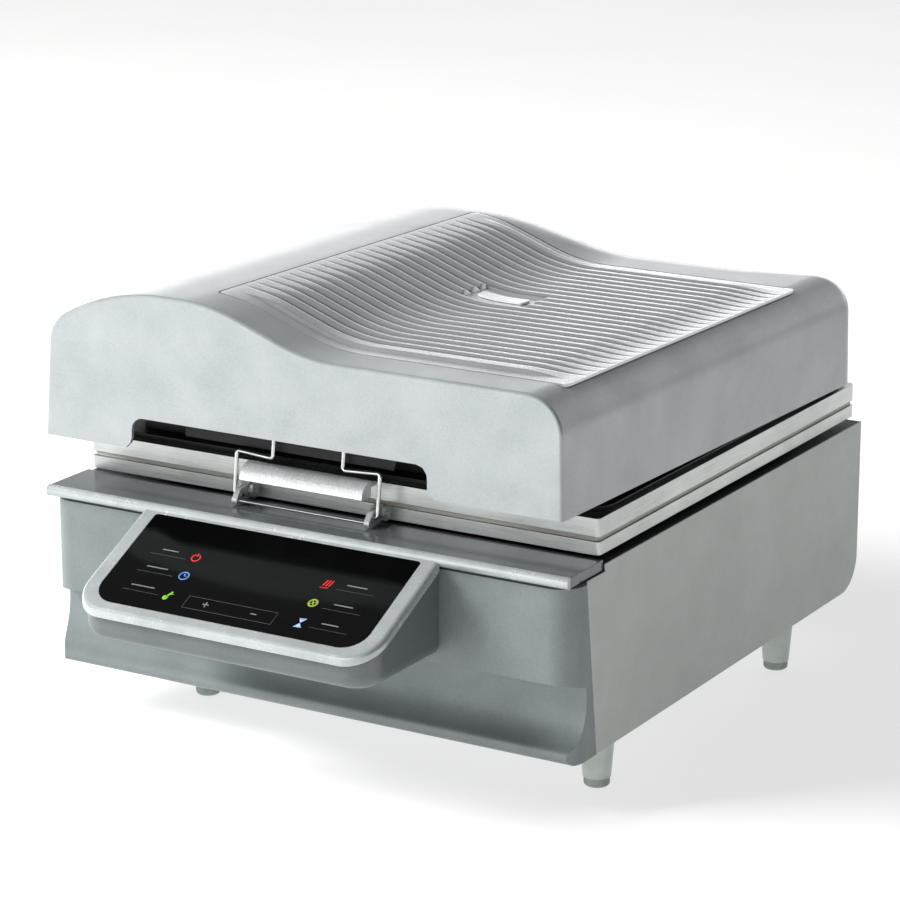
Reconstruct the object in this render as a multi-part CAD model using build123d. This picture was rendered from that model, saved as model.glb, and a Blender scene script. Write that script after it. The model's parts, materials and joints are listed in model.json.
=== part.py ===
"""Vacuum sublimation oven: a lidded heat press with a silicone membrane frame over a vacuum tray.

Millimetres, +Z up, X to the right, Y to the rear. The origin is on the floor under the middle of
the whole machine, console and hinges included.
"""
import math
import os

from build123d import *

# ---- overall sizes ------------------------------------------------------------------------------
base_width = 490.0
base_front_y = -222.0
base_rear_y = 306.0
base_bottom_z = 42.0
base_top_z = 193.4
rear_corner_radius = 30.0
rear_step = 30.0                 # the rear panel's lower part stands in, clear of the rounded corners
sheet = 1.5                      # steel sheet of the base panels
moulding_wall = 3.0
seat_gap = 0.25                  # clearance between pieces that rest side by side

# ---- front moulding and shelf -------------------------------------------------------------------
seam_top_y = -199.0              # the side seam leans forward towards its top
seam_bottom_y = -180.6
corner_radius = 22.0
block_bottom_z = 108.0
scoop_back_y = -198.0
scoop_drop = 6.0                 # how far the block's underside falls towards the scoop
lip_radius = 6.0
lip_front_y = -214.0
shelf_front_y = -226.6
shelf_thickness = 8.7
shelf_top_z = 196.4
shelf_side_gap = 2.0             # the shelf stands in from the base's sides
shelf_edge_radius = 3.4

# ---- feet ---------------------------------------------------------------------------------------
foot_places = [(-158.0, -124.0), (224.6, -141.4), (-225.0, 178.6), (227.7, 178.6)]
foot_top_radius = 14.0
foot_end_radius = 10.5
foot_pad_height = 8.0

# ---- console ------------------------------------------------------------------------------------
console_x = -7.0
console_slope = 26.0             # degrees down towards the front
console_top_y = -227.1
console_top_z = 192.0
bezel_half_width = 139.0
bezel_front_y = -330.0
bezel_thickness = 7.0
bezel_corner = 28.0
bezel_edge_radius = 4.5
tub_inset = 4.0                  # the tub stands in from the bezel all round
tub_bottom_z = 113.0
tub_foot_radius = 12.0
panel_width = 248.0
panel_top = 3.0                  # distance down the slope from the console's top edge
panel_length = 102.0
panel_thickness = 3.0
panel_corner = 20.0
panel_fit = 0.3
panel_ledge = 5.0

# ---- vacuum tray and deck -----------------------------------------------------------------------
tray_centre_y = 66.0
tray_width = 420.0
tray_length = 310.0
tray_depth = 88.0
tray_wall = 1.5
tray_corner = 20.0
tray_flange = 14.0
flange_thickness = 1.6
plate_height = 8.0               # the perforated plate stands on short legs
plate_thickness = 1.2
plate_hole_radius = 4.0
plate_hole_columns = 8
plate_hole_rows = 6

# ---- membrane frame -----------------------------------------------------------------------------
frame_half_width = 239.0
frame_front_y = -169.5
frame_rear_y = 301.5
window_margin = 5.0              # the frames' window stands outside the tray's walls at the sides
lower_frame_z = 198.3
lower_frame_height = 10.9
membrane_thickness = 3.3
membrane_gap = 0.2
upper_frame_height = 15.0

# ---- lid ----------------------------------------------------------------------------------------
lid_half_width = 240.0
lid_front_y = -229.5
lid_rear_y = 305.0
lid_rim_z = 230.6                # before the lid's casing is tipped
lid_tip = 1.13                   # degrees that the casing rises towards the front
lid_wall = 3.0
hump_top_z = 358.5
flat_top_z = 325.2
hump_arch_x = 110.0              # width and height of the left shoulder, from the wall to the crown
hump_arch_z = 50.0
shoulder_radius = 28.0
left_draft = 3.6                 # degrees that the side walls lean in
right_draft = 1.8
slope_start_x = -107.0
slope_end_x = 40.0
slope_angle = 20.1               # degrees at the middle of the S-slope
right_corner = 32.0
lid_front_round = 3.0
lid_rear_round = 26.0
rear_fall_y = 100.0              # the hump falls away over this length and height at the rear
rear_fall_z = 60.0
crown_margin = 1.0
notch_left_x = -154.0
notch_right_x = 122.0
notch_height = 26.0
notch_corner = 10.0

# ---- ribbed top panel ---------------------------------------------------------------------------
inset_left_x = -98.0
inset_right_x = 221.0
inset_front_y = -192.0
inset_rear_y = 215.0
inset_corner = 8.0
inset_depth = 2.4
inset_gap = 0.4
rib_count = 25
rib_pitch = 14.8
rib_first_y = -163.5
rib_height = 2.4
rib_foot = 12.0
rib_crest = 7.0
rib_left_x = -84.0
rib_right_x = 211.0
rib_fade = 46.0
badge_x = 33.0
badge_y = 41.0
badge_length = 56.0
badge_depth = 40.0
recess_depth = 0.9
plaque_length = 44.0
plaque_depth = 14.0
plaque_thickness = 2.0

# ---- heater -------------------------------------------------------------------------------------
box_half_width = 205.0
box_front_y = -146.0
box_rear_y = 281.0
box_bottom_z = 231.4
box_height = 70.0
box_sheet = 1.2
box_flange_half_width = 236.0
box_flange_front = 16.0
box_flange_rear_y = 299.0
box_flange_corner = 25.0
insulation_thickness = 10.0
heater_radius = 5.0
heater_count = 5
heater_pitch = 56.0
heater_first_x = -48.0
heater_drop = 22.0               # below the box's top
fan_x = -138.0
fan_y = 66.0
sensor_x = -90.0
sensor_drop = 20.0
wheel_radius = 52.0
wheel_height = 14.0
wheel_blades = 8
wheel_drop = 8.0                 # below the box's roof
hub_radius = 11.0
hub_drop = 4.0                   # below the blades
hub_cap = 2.5                    # closed end of the hub, under the shaft
fan_shaft_radius = 4.0
motor_radius = 30.0
motor_height = 32.0
gasket_width = 10.0
gasket_margin = 3.0              # from the flange's edge to the seal

# ---- latch --------------------------------------------------------------------------------------
latch_x = -15.5
pivot_y = -176.0
pivot_z = 205.5
pivot_radius = 2.0
arm_inner = 60.0                 # distance of the arms' inner faces from the latch's middle
arm_thickness = 5.0
arm_reach = 17.5                 # from the pivot to the cross rod
rod_z = 200.8
rod_radius = 1.5
bail_reach = 12.5                # from the pivot to the bail's holes
bail_hole_z = 204.5
bail_radius = 1.75
bail_half_width = 67.5
bail_shoulder_z = 239.5
bail_neck_half_width = 33.0
bail_top_z = 256.5
bail_lean = 7.0                  # how far the bail leans back over its height
bail_bend = 2.6
cheek_thickness = 4.0
grip_half_length = 58.0
grip_front_y = -196.5
grip_back_y = -182.0
grip_low_z = 219.0
grip_top_z = 232.0
grip_wall = 2.5
grip_neck_z = 223.5
grip_neck_height = 4.0
keeper_left_x = -138.0
keeper_right_x = 68.0
keeper_front_y = -177.6
keeper_bottom_z = 241.5
keeper_height = 24.0
keeper_thickness = 2.0

# ---- hinges -------------------------------------------------------------------------------------
hinge_y = 318.0
hinge_z = 228.0
hinge_places = [-150.0, 150.0]
pin_radius = 4.0
knuckle_radius = 7.0
knuckle_width = 14.0
leaf_thickness = 3.0
leaf_screw_radius = 2.0
pin_fit = 0.05
side_fit = 0.4
leaf_low_z = 150.0
leaf_high_z = 192.0
lid_leaf_low_z = 244.0
lid_leaf_high_z = 270.0

# ---- rear panel and inner works -----------------------------------------------------------------
fan_size = 60.0
fan_depth = 20.0
rear_fan_x = 130.0
rear_fan_z = 112.0
rotor_radius = 26.0
rotor_hub_radius = 11.0
rotor_blades = 7
inlet_x = -190.0
switch_x = -140.0
rear_socket_z = 112.0
inlet_width = 27.0
inlet_height = 20.0
switch_width = 14.4
switch_height = 21.2
rocker_tip = 9.0                 # degrees that the rocker stands tipped when off
rocker_radius = 9.0
rocker_width = 12.0
pump_x = -95.0
pump_y = 66.0
pump_motor_radius = 19.0
pump_motor_length = 62.0
pump_head = 46.0
board_thickness = 1.6
hole_fit = 0.1

# ---- sizes that follow --------------------------------------------------------------------------
half_width = base_width / 2
shelf_half_width = half_width - shelf_side_gap
shelf_bottom_z = shelf_top_z - shelf_thickness
block_top_z = shelf_bottom_z - seat_gap
deck_top_z = base_top_z
tray_floor_z = deck_top_z - tray_depth
flange_top_z = deck_top_z + flange_thickness
frame_bar = frame_half_width - tray_width / 2 - window_margin
lower_frame_top_z = lower_frame_z + lower_frame_height
membrane_z = lower_frame_top_z + membrane_gap
upper_frame_z = membrane_z + membrane_thickness + membrane_gap
upper_frame_top_z = upper_frame_z + upper_frame_height
box_top_z = box_bottom_z + box_height
wheel_top_z = box_top_z - box_sheet - wheel_drop
hub_foot_z = wheel_top_z - wheel_height - hub_drop
arm_centre = arm_inner + arm_thickness / 2
bail_y = pivot_y - bail_reach
rod_y = pivot_y - arm_reach
pan_top_z = base_bottom_z + sheet
rear_inner_y = base_rear_y - sheet


left_top_x = -lid_half_width + (hump_top_z - hump_arch_z - lid_rim_z) * math.tan(math.radians(left_draft))
shoulder_centre = (left_top_x + shoulder_radius, hump_top_z - hump_arch_z)
arch_radius = ((hump_arch_x ** 2 + hump_arch_z ** 2 - 2 * hump_arch_x * shoulder_radius)
               / (2 * (hump_arch_z - shoulder_radius)))
arch_centre = (left_top_x + hump_arch_x, hump_top_z - arch_radius)
slope_turn = math.radians(slope_angle)
slope_radius = (((slope_end_x - slope_start_x) * math.sin(slope_turn)
                 - (hump_top_z - flat_top_z) * math.cos(slope_turn)) / (2 * (1 - math.cos(slope_turn))))
crest_centre = (slope_start_x, hump_top_z - slope_radius)
trough_centre = (slope_end_x, flat_top_z + slope_radius)
right_top_x = lid_half_width - (flat_top_z - right_corner - lid_rim_z) * math.tan(math.radians(right_draft))
corner_centre = (right_top_x - right_corner, flat_top_z - right_corner)

parts = {}


def slab(x0, x1, y0, y1, z0, z1):
    """A box given by its faces."""
    return Pos((x0 + x1) / 2, (y0 + y1) / 2, (z0 + z1) / 2) * Box(x1 - x0, y1 - y0, z1 - z0)


def along_x(face, x0, x1):
    """A (y, z) outline carried from x0 to x1."""
    return extrude(Plane.YZ.offset(x0) * face, x1 - x0)


def along_y(face, y0, y1):
    """An (x, z) outline carried from y0 to y1."""
    return extrude(Plane.XZ.offset(-y1) * face, y1 - y0)


def along_z(face, z0, z1):
    """An (x, y) outline carried from z0 to z1."""
    return extrude(Pos(0, 0, z0) * face, z1 - z0)


def outline(*points):
    """A face inside straight edges."""
    return make_face(Polyline(*points, close=True))


def rod_x(radius, x0, x1, y, z):
    """A round bar lying along X."""
    return Pos((x0 + x1) / 2, y, z) * Rot(0, 90, 0) * Cylinder(radius, x1 - x0)


def rod_y_axis(radius, y0, y1, x, z):
    """A round bar lying along Y."""
    return Pos(x, (y0 + y1) / 2, z) * Rot(90, 0, 0) * Cylinder(radius, y1 - y0)


def rod_z_axis(radius, z0, z1, x, y):
    """A round bar standing along Z."""
    return Pos(x, y, (z0 + z1) / 2) * Cylinder(radius, z1 - z0)


def rounded(width, length, radius, x=0.0, y=0.0):
    """A rounded rectangle in plan."""
    return Pos(x, y) * RectangleRounded(width, length, radius)


def keep(name, *shapes):
    """Stores one sub-part as separate solids."""
    solids = [solid for shape in shapes for solid in shape.solids()]
    parts[name] = solids[0] if len(solids) == 1 else Compound(children=solids)


# ---- base ---------------------------------------------------------------------------------------
def side_outline():
    """Side panel outline: the seam in front, a step for the shelf and a rounded rear corner."""
    face = outline(
        (seam_bottom_y, base_bottom_z),
        (seam_top_y, block_top_z),
        (frame_front_y - seat_gap, block_top_z),
        (frame_front_y - seat_gap, base_top_z),
        (base_rear_y, base_top_z),
        (base_rear_y, base_bottom_z),
    )
    corner = face.vertices().sort_by_distance((base_rear_y, base_bottom_z, 0))[0]
    return fillet(corner, rear_corner_radius)


def side_panel(side):
    """One pressed side panel with returned flanges along its top and bottom."""
    outer = half_width * side
    inner = (half_width - sheet) * side
    low, high = min(outer, inner), max(outer, inner)
    panel = along_x(side_outline(), low, high)
    flange = (half_width - 14) * side
    flange_low, flange_high = min(outer, flange), max(outer, flange)
    front = frame_front_y
    rear = base_rear_y - sheet - seat_gap
    step_y = rear_inner_y - rear_step - seat_gap
    bottom = slab(flange_low, flange_high, seam_bottom_y + 4, step_y, pan_top_z, pan_top_z + sheet)
    top_z = base_top_z - 2 * sheet - seat_gap
    top = slab(flange_low, flange_high, front, rear, top_z, top_z + sheet)
    return panel + bottom + top


def bottom_pan():
    """Floor pan of the base, with a bored boss over each foot."""
    inner = half_width - sheet - seat_gap
    pan = slab(-inner, inner, seam_bottom_y + 3, rear_inner_y - rear_step + sheet, base_bottom_z, pan_top_z)
    for x, y in foot_places:
        pan -= rod_z_axis(3 + hole_fit, base_bottom_z, pan_top_z, x, y)
    return pan


def rear_panel():
    """Rear panel stepped in over the rounded corners, with vents, socket cut-outs and screw holes."""
    inner = half_width - sheet - seat_gap
    step_y = rear_inner_y - rear_step
    step_z = pan_top_z + rear_step
    top_z = base_top_z - sheet - seat_gap
    panel = slab(-inner, inner, rear_inner_y, base_rear_y, step_z, top_z)
    panel += slab(-inner, inner, step_y, base_rear_y, step_z, step_z + sheet)
    panel += slab(-inner, inner, step_y, step_y + sheet, pan_top_z, step_z + sheet)
    for i in range(5):
        z = rear_fan_z + (i - 2) * 9
        panel -= slab(rear_fan_x - 22, rear_fan_x + 22, rear_inner_y, base_rear_y, z - 2, z + 2)
    for x, width, height in ((inlet_x, inlet_width, inlet_height), (switch_x, switch_width, switch_height)):
        half = width / 2 + hole_fit
        rise = height / 2 + hole_fit
        panel -= slab(x - half, x + half, rear_inner_y, base_rear_y,
                      rear_socket_z - rise, rear_socket_z + rise)
    for x, z in base_screw_places():
        panel -= rod_y_axis(leaf_screw_radius + hole_fit, rear_inner_y, base_rear_y, x, z)
    return panel


def moulding_outline():
    """Side view of the front moulding: an upright block, a hollow scoop below it and a rounded lip."""
    scoop_top = (scoop_back_y, block_bottom_z - scoop_drop)
    lip_top = (lip_front_y, base_bottom_z + 2 * lip_radius)
    lip_foot = (lip_front_y + lip_radius, base_bottom_z)
    seam_foot = (seam_bottom_y - seat_gap, base_bottom_z)
    seam_head = (seam_top_y - seat_gap, block_top_z)
    block_head = (base_front_y, block_top_z)
    block_foot = (base_front_y, block_bottom_z)
    edges = Polyline(seam_foot, seam_head, block_head, block_foot, scoop_top)
    edges += Spline(scoop_top, lip_top, tangents=[(0.1, -1), (-1, -0.75)])
    edges += RadiusArc(lip_top, lip_foot, -1.15 * lip_radius)
    edges += Line(lip_foot, seam_foot)
    return make_face(edges)


def moulding_plan(inset):
    """Plan of the moulding with rounded front corners, reaching far behind it."""
    length = 200.0
    return rounded(2 * (half_width - inset), length, corner_radius - inset, 0,
                   base_front_y + inset + length / 2)


def front_moulding():
    """Hollow front moulding, open towards the rear."""
    shell = along_x(moulding_outline(), -half_width, half_width)
    shell &= along_z(moulding_plan(0), base_bottom_z, block_top_z)
    wall = moulding_wall
    shell -= along_z(moulding_plan(wall), block_bottom_z + wall, block_top_z - wall)
    reach = half_width - wall
    back = scoop_back_y + wall + 1
    return shell - slab(-reach, reach, back, seam_bottom_y + 1, base_bottom_z + wall, block_top_z - wall)


def shelf_top():
    """Shelf across the front, with rolled front edges."""
    shelf = slab(-shelf_half_width, shelf_half_width, shelf_front_y, frame_front_y - 2 * seat_gap,
                 shelf_bottom_z, shelf_top_z)
    front_edges = shelf.edges().filter_by(Axis.X).sort_by(Axis.Y)[:2]
    return fillet(front_edges, shelf_edge_radius)


def top_deck():
    """Deck sheet round the tray's mouth."""
    inner = half_width - sheet - seat_gap
    low_z = deck_top_z - sheet
    deck = slab(-inner, inner, frame_front_y, rear_inner_y - seat_gap, low_z, deck_top_z)
    fit = 2 * (tray_wall + seat_gap)
    mouth = rounded(tray_width + fit, tray_length + fit, tray_corner + tray_wall, 0, tray_centre_y)
    return deck - along_z(mouth, low_z, deck_top_z)


def vacuum_tray():
    """Drawn tray with a flange on the deck and an outlet in its floor."""
    outer = rounded(tray_width + 2 * tray_wall, tray_length + 2 * tray_wall, tray_corner + tray_wall,
                    0, tray_centre_y)
    inner = rounded(tray_width, tray_length, tray_corner, 0, tray_centre_y)
    rim = rounded(tray_width + 2 * tray_flange, tray_length + 2 * tray_flange, tray_corner + tray_flange,
                  0, tray_centre_y)
    tray = along_z(outer, tray_floor_z - tray_wall, flange_top_z) + along_z(rim, deck_top_z, flange_top_z)
    tray -= along_z(inner, tray_floor_z, flange_top_z)
    return tray - rod_z_axis(5, tray_floor_z - tray_wall, tray_floor_z, 0, tray_centre_y)


def perforated_plate():
    """Perforated plate on short legs over the tray's floor."""
    fit = 4.0
    plate_z = tray_floor_z + plate_height
    face = rounded(tray_width - fit, tray_length - fit, tray_corner - fit / 2, 0, tray_centre_y)
    step_x = tray_width / (plate_hole_columns + 1)
    step_y = tray_length / (plate_hole_rows + 1)
    holes = GridLocations(step_x, step_y, plate_hole_columns, plate_hole_rows)
    face -= Pos(0, tray_centre_y) * holes * Circle(plate_hole_radius)
    plate = along_z(face, plate_z, plate_z + plate_thickness)
    legs = Pos(0, tray_centre_y) * GridLocations(3 * step_x, 2 * step_y, 3, 3)
    shift = Pos(step_x / 2, 0)
    for place in legs:
        x, y = (place * shift).position.X, place.position.Y
        plate += rod_z_axis(3, tray_floor_z, plate_z, x, y)
    return plate


def tray_gasket():
    """Rubber ring on the tray's flange, just under the membrane frame."""
    outer = rounded(tray_width + 2 * tray_flange - 4, tray_length + 2 * tray_flange - 4,
                    tray_corner + tray_flange - 2, 0, tray_centre_y)
    inner = rounded(tray_width + 6, tray_length + 6, tray_corner + 3, 0, tray_centre_y)
    return along_z(outer - inner, flange_top_z, lower_frame_z - seat_gap)


def foot_posts():
    """Tapered posts under the pan, each with a threaded stud into it."""
    posts = []
    for x, y in foot_places:
        post = Pos(x, y, (foot_pad_height + base_bottom_z) / 2) * Cone(
            foot_end_radius + 0.8, foot_top_radius, base_bottom_z - foot_pad_height)
        posts.append(post + rod_z_axis(3, base_bottom_z, pan_top_z + 4, x, y))
    return posts


def foot_pads():
    """Rubber feet with a rounded lower edge."""
    pads = []
    for x, y in foot_places:
        pad = rod_z_axis(foot_end_radius, 0, foot_pad_height, x, y)
        pads.append(fillet(pad.edges().sort_by(Axis.Z)[0], 3))
    return pads


# ---- console ------------------------------------------------------------------------------------
def console_plane():
    """Plane of the console's face: X to the right, Y up the slope."""
    slope = math.radians(console_slope)
    return Plane(origin=(console_x, console_top_y, console_top_z), x_dir=(1, 0, 0),
                 z_dir=(0, -math.sin(slope), math.cos(slope)))


def console_slab(top, bottom):
    """A thick slab parallel to the console's face, from top down to bottom."""
    block = Pos(0, -50, (top + bottom) / 2) * Box(500, 400, top - bottom)
    return console_plane() * block


def console_plan(inset, rear_y):
    """Plan of the console with rounded front corners."""
    front = bezel_front_y + inset
    half = bezel_half_width - inset
    face = Pos(console_x, (front + rear_y) / 2) * Rectangle(2 * half, rear_y - front)
    corners = face.vertices().sort_by(Axis.Y)[:2]
    return fillet(corners, bezel_corner - inset)


def round_floor(body, radius):
    """The console's body with its lower edges rounded, apart from the one at the rear."""
    edges = body.faces().sort_by(Axis.Z)[0].edges().filter_by(lambda e: e.center().Y < base_front_y - 5)
    return fillet(edges, radius)


def console_tub():
    """Hollow tub under the console's face, closed below and open towards the block."""
    below = bezel_thickness + 0.8
    outer = along_z(console_plan(tub_inset, base_front_y - seat_gap), tub_bottom_z, console_top_z)
    outer -= console_slab(60, -below)
    outer = round_floor(outer, tub_foot_radius)
    inset = tub_inset + moulding_wall
    inner = along_z(console_plan(inset, base_front_y + 1), tub_bottom_z + moulding_wall, console_top_z)
    return outer - round_floor(inner, tub_foot_radius - moulding_wall)


def panel_face(grow, low, high):
    """The control panel's outline, grown all round, as a solid between two depths."""
    width = panel_width + 2 * grow
    length = panel_length + 2 * grow
    face = Pos(0, -panel_top - panel_length / 2) * Rectangle(width, length)
    lower = face.vertices().sort_by(Axis.Y)[:2]
    face = fillet(lower, panel_corner + grow)
    upper = face.vertices().sort_by(Axis.Y)[-2:]
    face = fillet(upper, 3)
    return console_plane() * along_z(face, low, high)


def console_bezel():
    """Bezel round the control panel, with a ledge that carries it."""
    plan = console_plan(0, console_top_y)
    bezel = along_z(plan, tub_bottom_z, console_top_z + 20) & console_slab(0, -bezel_thickness)
    bezel -= panel_face(panel_fit, -panel_thickness - panel_fit, 5)
    bezel -= panel_face(-panel_ledge, -bezel_thickness - 1, 5)
    normal = console_plane().z_dir
    rim = bezel.faces().sort_by(lambda f: f.center().dot(normal))[-1]
    outer = rim.outer_wire().edges().filter_by(lambda e: e.center().Y < console_top_y - 1)
    return fillet(outer, bezel_edge_radius)


def control_panel():
    """Flat control panel with touch keys."""
    return panel_face(0, -panel_thickness, 0)


def control_board():
    """Display board on four spacers under the bezel's ledge."""
    board_z = -bezel_thickness - 5.0
    half = panel_width / 2 - 2
    middle = -panel_top - panel_length / 2
    board = Pos(0, middle, board_z) * Box(2 * half, 56, board_thickness)
    for x in (-half + 3, half - 3):
        for y in (middle - 22, middle + 22):
            board += Pos(x, y, 0) * rod_z_axis(2, board_z, -bezel_thickness, 0, 0)
    board += Pos(0, middle, board_z - board_thickness / 2 - 4) * Box(60, 24, 8)
    return console_plane() * board


# ---- membrane frame -----------------------------------------------------------------------------
def frame_ring(z0, z1):
    """Rectangular ring of the membrane frame."""
    middle = (frame_front_y + frame_rear_y) / 2
    length = frame_rear_y - frame_front_y
    outer = rounded(2 * frame_half_width, length, 4, 0, middle)
    inner = rounded(2 * (frame_half_width - frame_bar), length - 2 * frame_bar, 10, 0, middle)
    return along_z(outer - inner, z0, z1)


def lower_frame():
    """Lower strip frame, which carries the latch and the hinges."""
    return frame_ring(lower_frame_z, lower_frame_top_z)


def upper_frame():
    """Upper strip frame."""
    return frame_ring(upper_frame_z, upper_frame_top_z)


def silicone_membrane():
    """Silicone sheet clamped between the two frames."""
    middle = (frame_front_y + frame_rear_y) / 2
    face = rounded(2 * frame_half_width - 3, frame_rear_y - frame_front_y - 3, 4, 0, middle)
    return along_z(face, membrane_z, membrane_z + membrane_thickness)


def latch_brackets():
    """Clevis brackets on the lower frame's front face, one for each lever arm."""
    brackets = []
    for side in (-1, 1):
        inner = arm_inner - seat_gap - cheek_thickness
        outer = arm_inner + arm_thickness + seat_gap + cheek_thickness
        x0, x1 = sorted((latch_x + side * inner, latch_x + side * outer))
        cheek = outline((frame_front_y, 199), (pivot_y - 2, 199.5), (pivot_y - 6, pivot_z),
                        (pivot_y - 3, pivot_z + 5), (frame_front_y, pivot_z + 5))
        block = along_x(cheek, x0, x1)
        slot_inner = arm_inner - seat_gap
        slot_outer = arm_inner + arm_thickness + seat_gap
        s0, s1 = sorted((latch_x + side * slot_inner, latch_x + side * slot_outer))
        block -= slab(s0, s1, pivot_y - 8, frame_front_y - 0.5, 190, pivot_z + 10)
        block -= rod_x(pivot_radius + 0.02, x0 - 1, x1 + 1, pivot_y, pivot_z)
        brackets.append(block)
    return brackets


def lever_pins():
    """Pivot pins through the clevis brackets."""
    reach = arm_thickness / 2 + seat_gap + cheek_thickness + 1
    pins = []
    for side in (-1, 1):
        x = latch_x + side * arm_centre
        pins.append(rod_x(pivot_radius, x - reach, x + reach, pivot_y, pivot_z))
    return pins


def grip_section(inset):
    """Quarter-round hood of the grip, seen from the side."""
    back = grip_back_y - inset
    top = grip_top_z - inset
    front = grip_front_y + inset
    low = grip_low_z - (1 if inset else 0)
    edges = Line((back, top), (back, low)) + Line((back, low), (front, low))
    edges += EllipticalCenterArc((back, low), back - front, top - low, 90, arc_size=90)
    return make_face(edges)


def frame_grip():
    """Finger grip: a hooded bar with closed ends on a neck from the upper frame."""
    x0, x1 = latch_x - grip_half_length, latch_x + grip_half_length
    bar = along_x(grip_section(0), x0, x1)
    bar -= along_x(grip_section(grip_wall), x0 + grip_wall, x1 - grip_wall)
    bar -= slab(x0 + grip_wall, x1 - grip_wall, grip_back_y - grip_wall - 0.5, grip_back_y + 1,
                grip_low_z - 1, grip_neck_z)
    neck = slab(x0 + 6, x1 - 6, grip_back_y, frame_front_y, grip_neck_z, grip_neck_z + grip_neck_height)
    return bar + neck


def lever_arm(side):
    """One side arm: a rounded link from the pivot to the cross rod."""
    x0, x1 = sorted((latch_x + side * arm_inner, latch_x + side * (arm_inner + arm_thickness)))
    tail = Pos(pivot_y, pivot_z) * Circle(5.8)
    middle = Pos(bail_y, bail_hole_z) * Circle(5.0)
    tip = Pos(rod_y, rod_z) * Circle(3.6)
    link = make_hull(tail.edges() + middle.edges() + tip.edges())
    arm = along_x(link, x0, x1)
    arm -= rod_x(pivot_radius + pin_fit, x0 - 1, x1 + 1, pivot_y, pivot_z)
    arm -= rod_x(bail_radius + pin_fit, x0 - 1, x1 + 1, bail_y, bail_hole_z)
    return arm - rod_x(rod_radius + 0.02, x0 - 1, x1 + 1, rod_y, rod_z)


def lever_rod():
    """Cross rod of the lever."""
    reach = arm_inner + arm_thickness
    return rod_x(rod_radius, latch_x - reach, latch_x + reach, rod_y, rod_z)


def latch_bail():
    """Bent wire bail: two feet in the arms, shoulders, necks and a crossbar."""
    height = bail_top_z - bail_hole_z
    lean = math.atan2(bail_lean, height)
    plane = Plane(origin=(latch_x, bail_y, bail_hole_z), x_dir=(1, 0, 0),
                  z_dir=(0, -math.cos(lean), math.sin(lean)))
    shoulder = (bail_shoulder_z - bail_hole_z) / math.cos(lean)
    top = height / math.cos(lean)
    foot = arm_inner - 1
    right = [(foot, 0), (bail_half_width, 0), (bail_half_width, shoulder),
             (bail_neck_half_width, shoulder - 2), (bail_neck_half_width, top)]
    left = [(-x, y) for x, y in reversed(right)]
    path = plane * FilletPolyline(*right, *left, radius=bail_bend)
    start = Plane(origin=path @ 0, z_dir=path % 0)
    return sweep(start * Circle(bail_radius), path=path)


# ---- lid ----------------------------------------------------------------------------------------
def on_circle(centre, radius, angle):
    """Point of a circle at an angle in degrees."""
    return (centre[0] + radius * math.cos(math.radians(angle)),
            centre[1] + radius * math.sin(math.radians(angle)))


def wall_foot(centre, radius, side, draft, z):
    """Where a drafted wall, tangent to the circle above it, reaches a height."""
    lean = math.radians(draft)
    tangent_x = centre[0] + side * radius * math.cos(lean)
    tangent_z = centre[1] + radius * math.sin(lean)
    return (tangent_x + side * (tangent_z - z) * math.tan(lean), z)


def lid_face(inset, below=0.0):
    """Front view of the lid: rounded left shoulder, hump, S-slope, flat top and right corner."""
    rim = lid_rim_z - below
    turn = math.degrees(math.atan2(shoulder_centre[1] - arch_centre[1], arch_centre[0] - shoulder_centre[0]))
    small, large, corner = shoulder_radius - inset, arch_radius - inset, right_corner - inset
    crest, trough = slope_radius - inset, slope_radius + inset
    left_foot = wall_foot(shoulder_centre, small, -1, left_draft, rim)
    right_foot = wall_foot(corner_centre, corner, 1, right_draft, rim)
    edges = Line(left_foot, on_circle(shoulder_centre, small, 180 - left_draft))
    edges += CenterArc(shoulder_centre, small, 180 - turn, turn - left_draft)
    edges += CenterArc(arch_centre, large, 90, 90 - turn)
    edges += Line(on_circle(arch_centre, large, 90), on_circle(crest_centre, crest, 90))
    edges += CenterArc(crest_centre, crest, 90 - slope_angle, slope_angle)
    edges += Line(on_circle(crest_centre, crest, 90 - slope_angle),
                  on_circle(trough_centre, trough, 270 - slope_angle))
    edges += CenterArc(trough_centre, trough, 270 - slope_angle, slope_angle)
    edges += Line(on_circle(trough_centre, trough, 270), on_circle(corner_centre, corner, 90))
    edges += CenterArc(corner_centre, corner, right_draft, 90 - right_draft)
    edges += Line(on_circle(corner_centre, corner, right_draft), right_foot)
    edges += Line(right_foot, left_foot)
    return make_face(edges)


def surface_z(x):
    """Height of the lid's top along the hump, the slope and the flat."""
    turn = math.radians(slope_angle)
    reach = slope_radius * math.sin(turn)
    past = x - slope_start_x
    left = slope_end_x - x
    if past <= 0:
        return hump_top_z
    if left <= 0:
        return flat_top_z
    if past < reach:
        return hump_top_z - slope_radius + math.sqrt(slope_radius ** 2 - past ** 2)
    if left < reach:
        return flat_top_z + slope_radius - math.sqrt(slope_radius ** 2 - left ** 2)
    return hump_top_z - slope_radius * (1 - math.cos(turn)) - (past - reach) * math.tan(turn)


def tip_lid(shape):
    """Tips a piece of the lid's casing about the hinge line."""
    return shape.rotate(Axis((0, hinge_y, hinge_z), (1, 0, 0)), -lid_tip)


def lid_side(inset, below):
    """Side view of the lid's hollow or form: the crown falls away in a quarter ellipse at the rear."""
    low, head = lid_rim_z - below - 1, hump_top_z + 10
    front = lid_front_y - 10
    round_y = lid_rear_y - rear_fall_y
    round_z = hump_top_z - rear_fall_z
    crown = hump_top_z + crown_margin - inset
    edges = Polyline((front, low), (front, head), (round_y, head), (round_y, crown))
    edges += EllipticalCenterArc((round_y, round_z), rear_fall_y - inset, crown - round_z, 0, arc_size=90)
    edges += Polyline((lid_rear_y - inset, round_z), (lid_rear_y - inset, low), (front, low))
    return make_face(edges)


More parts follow.
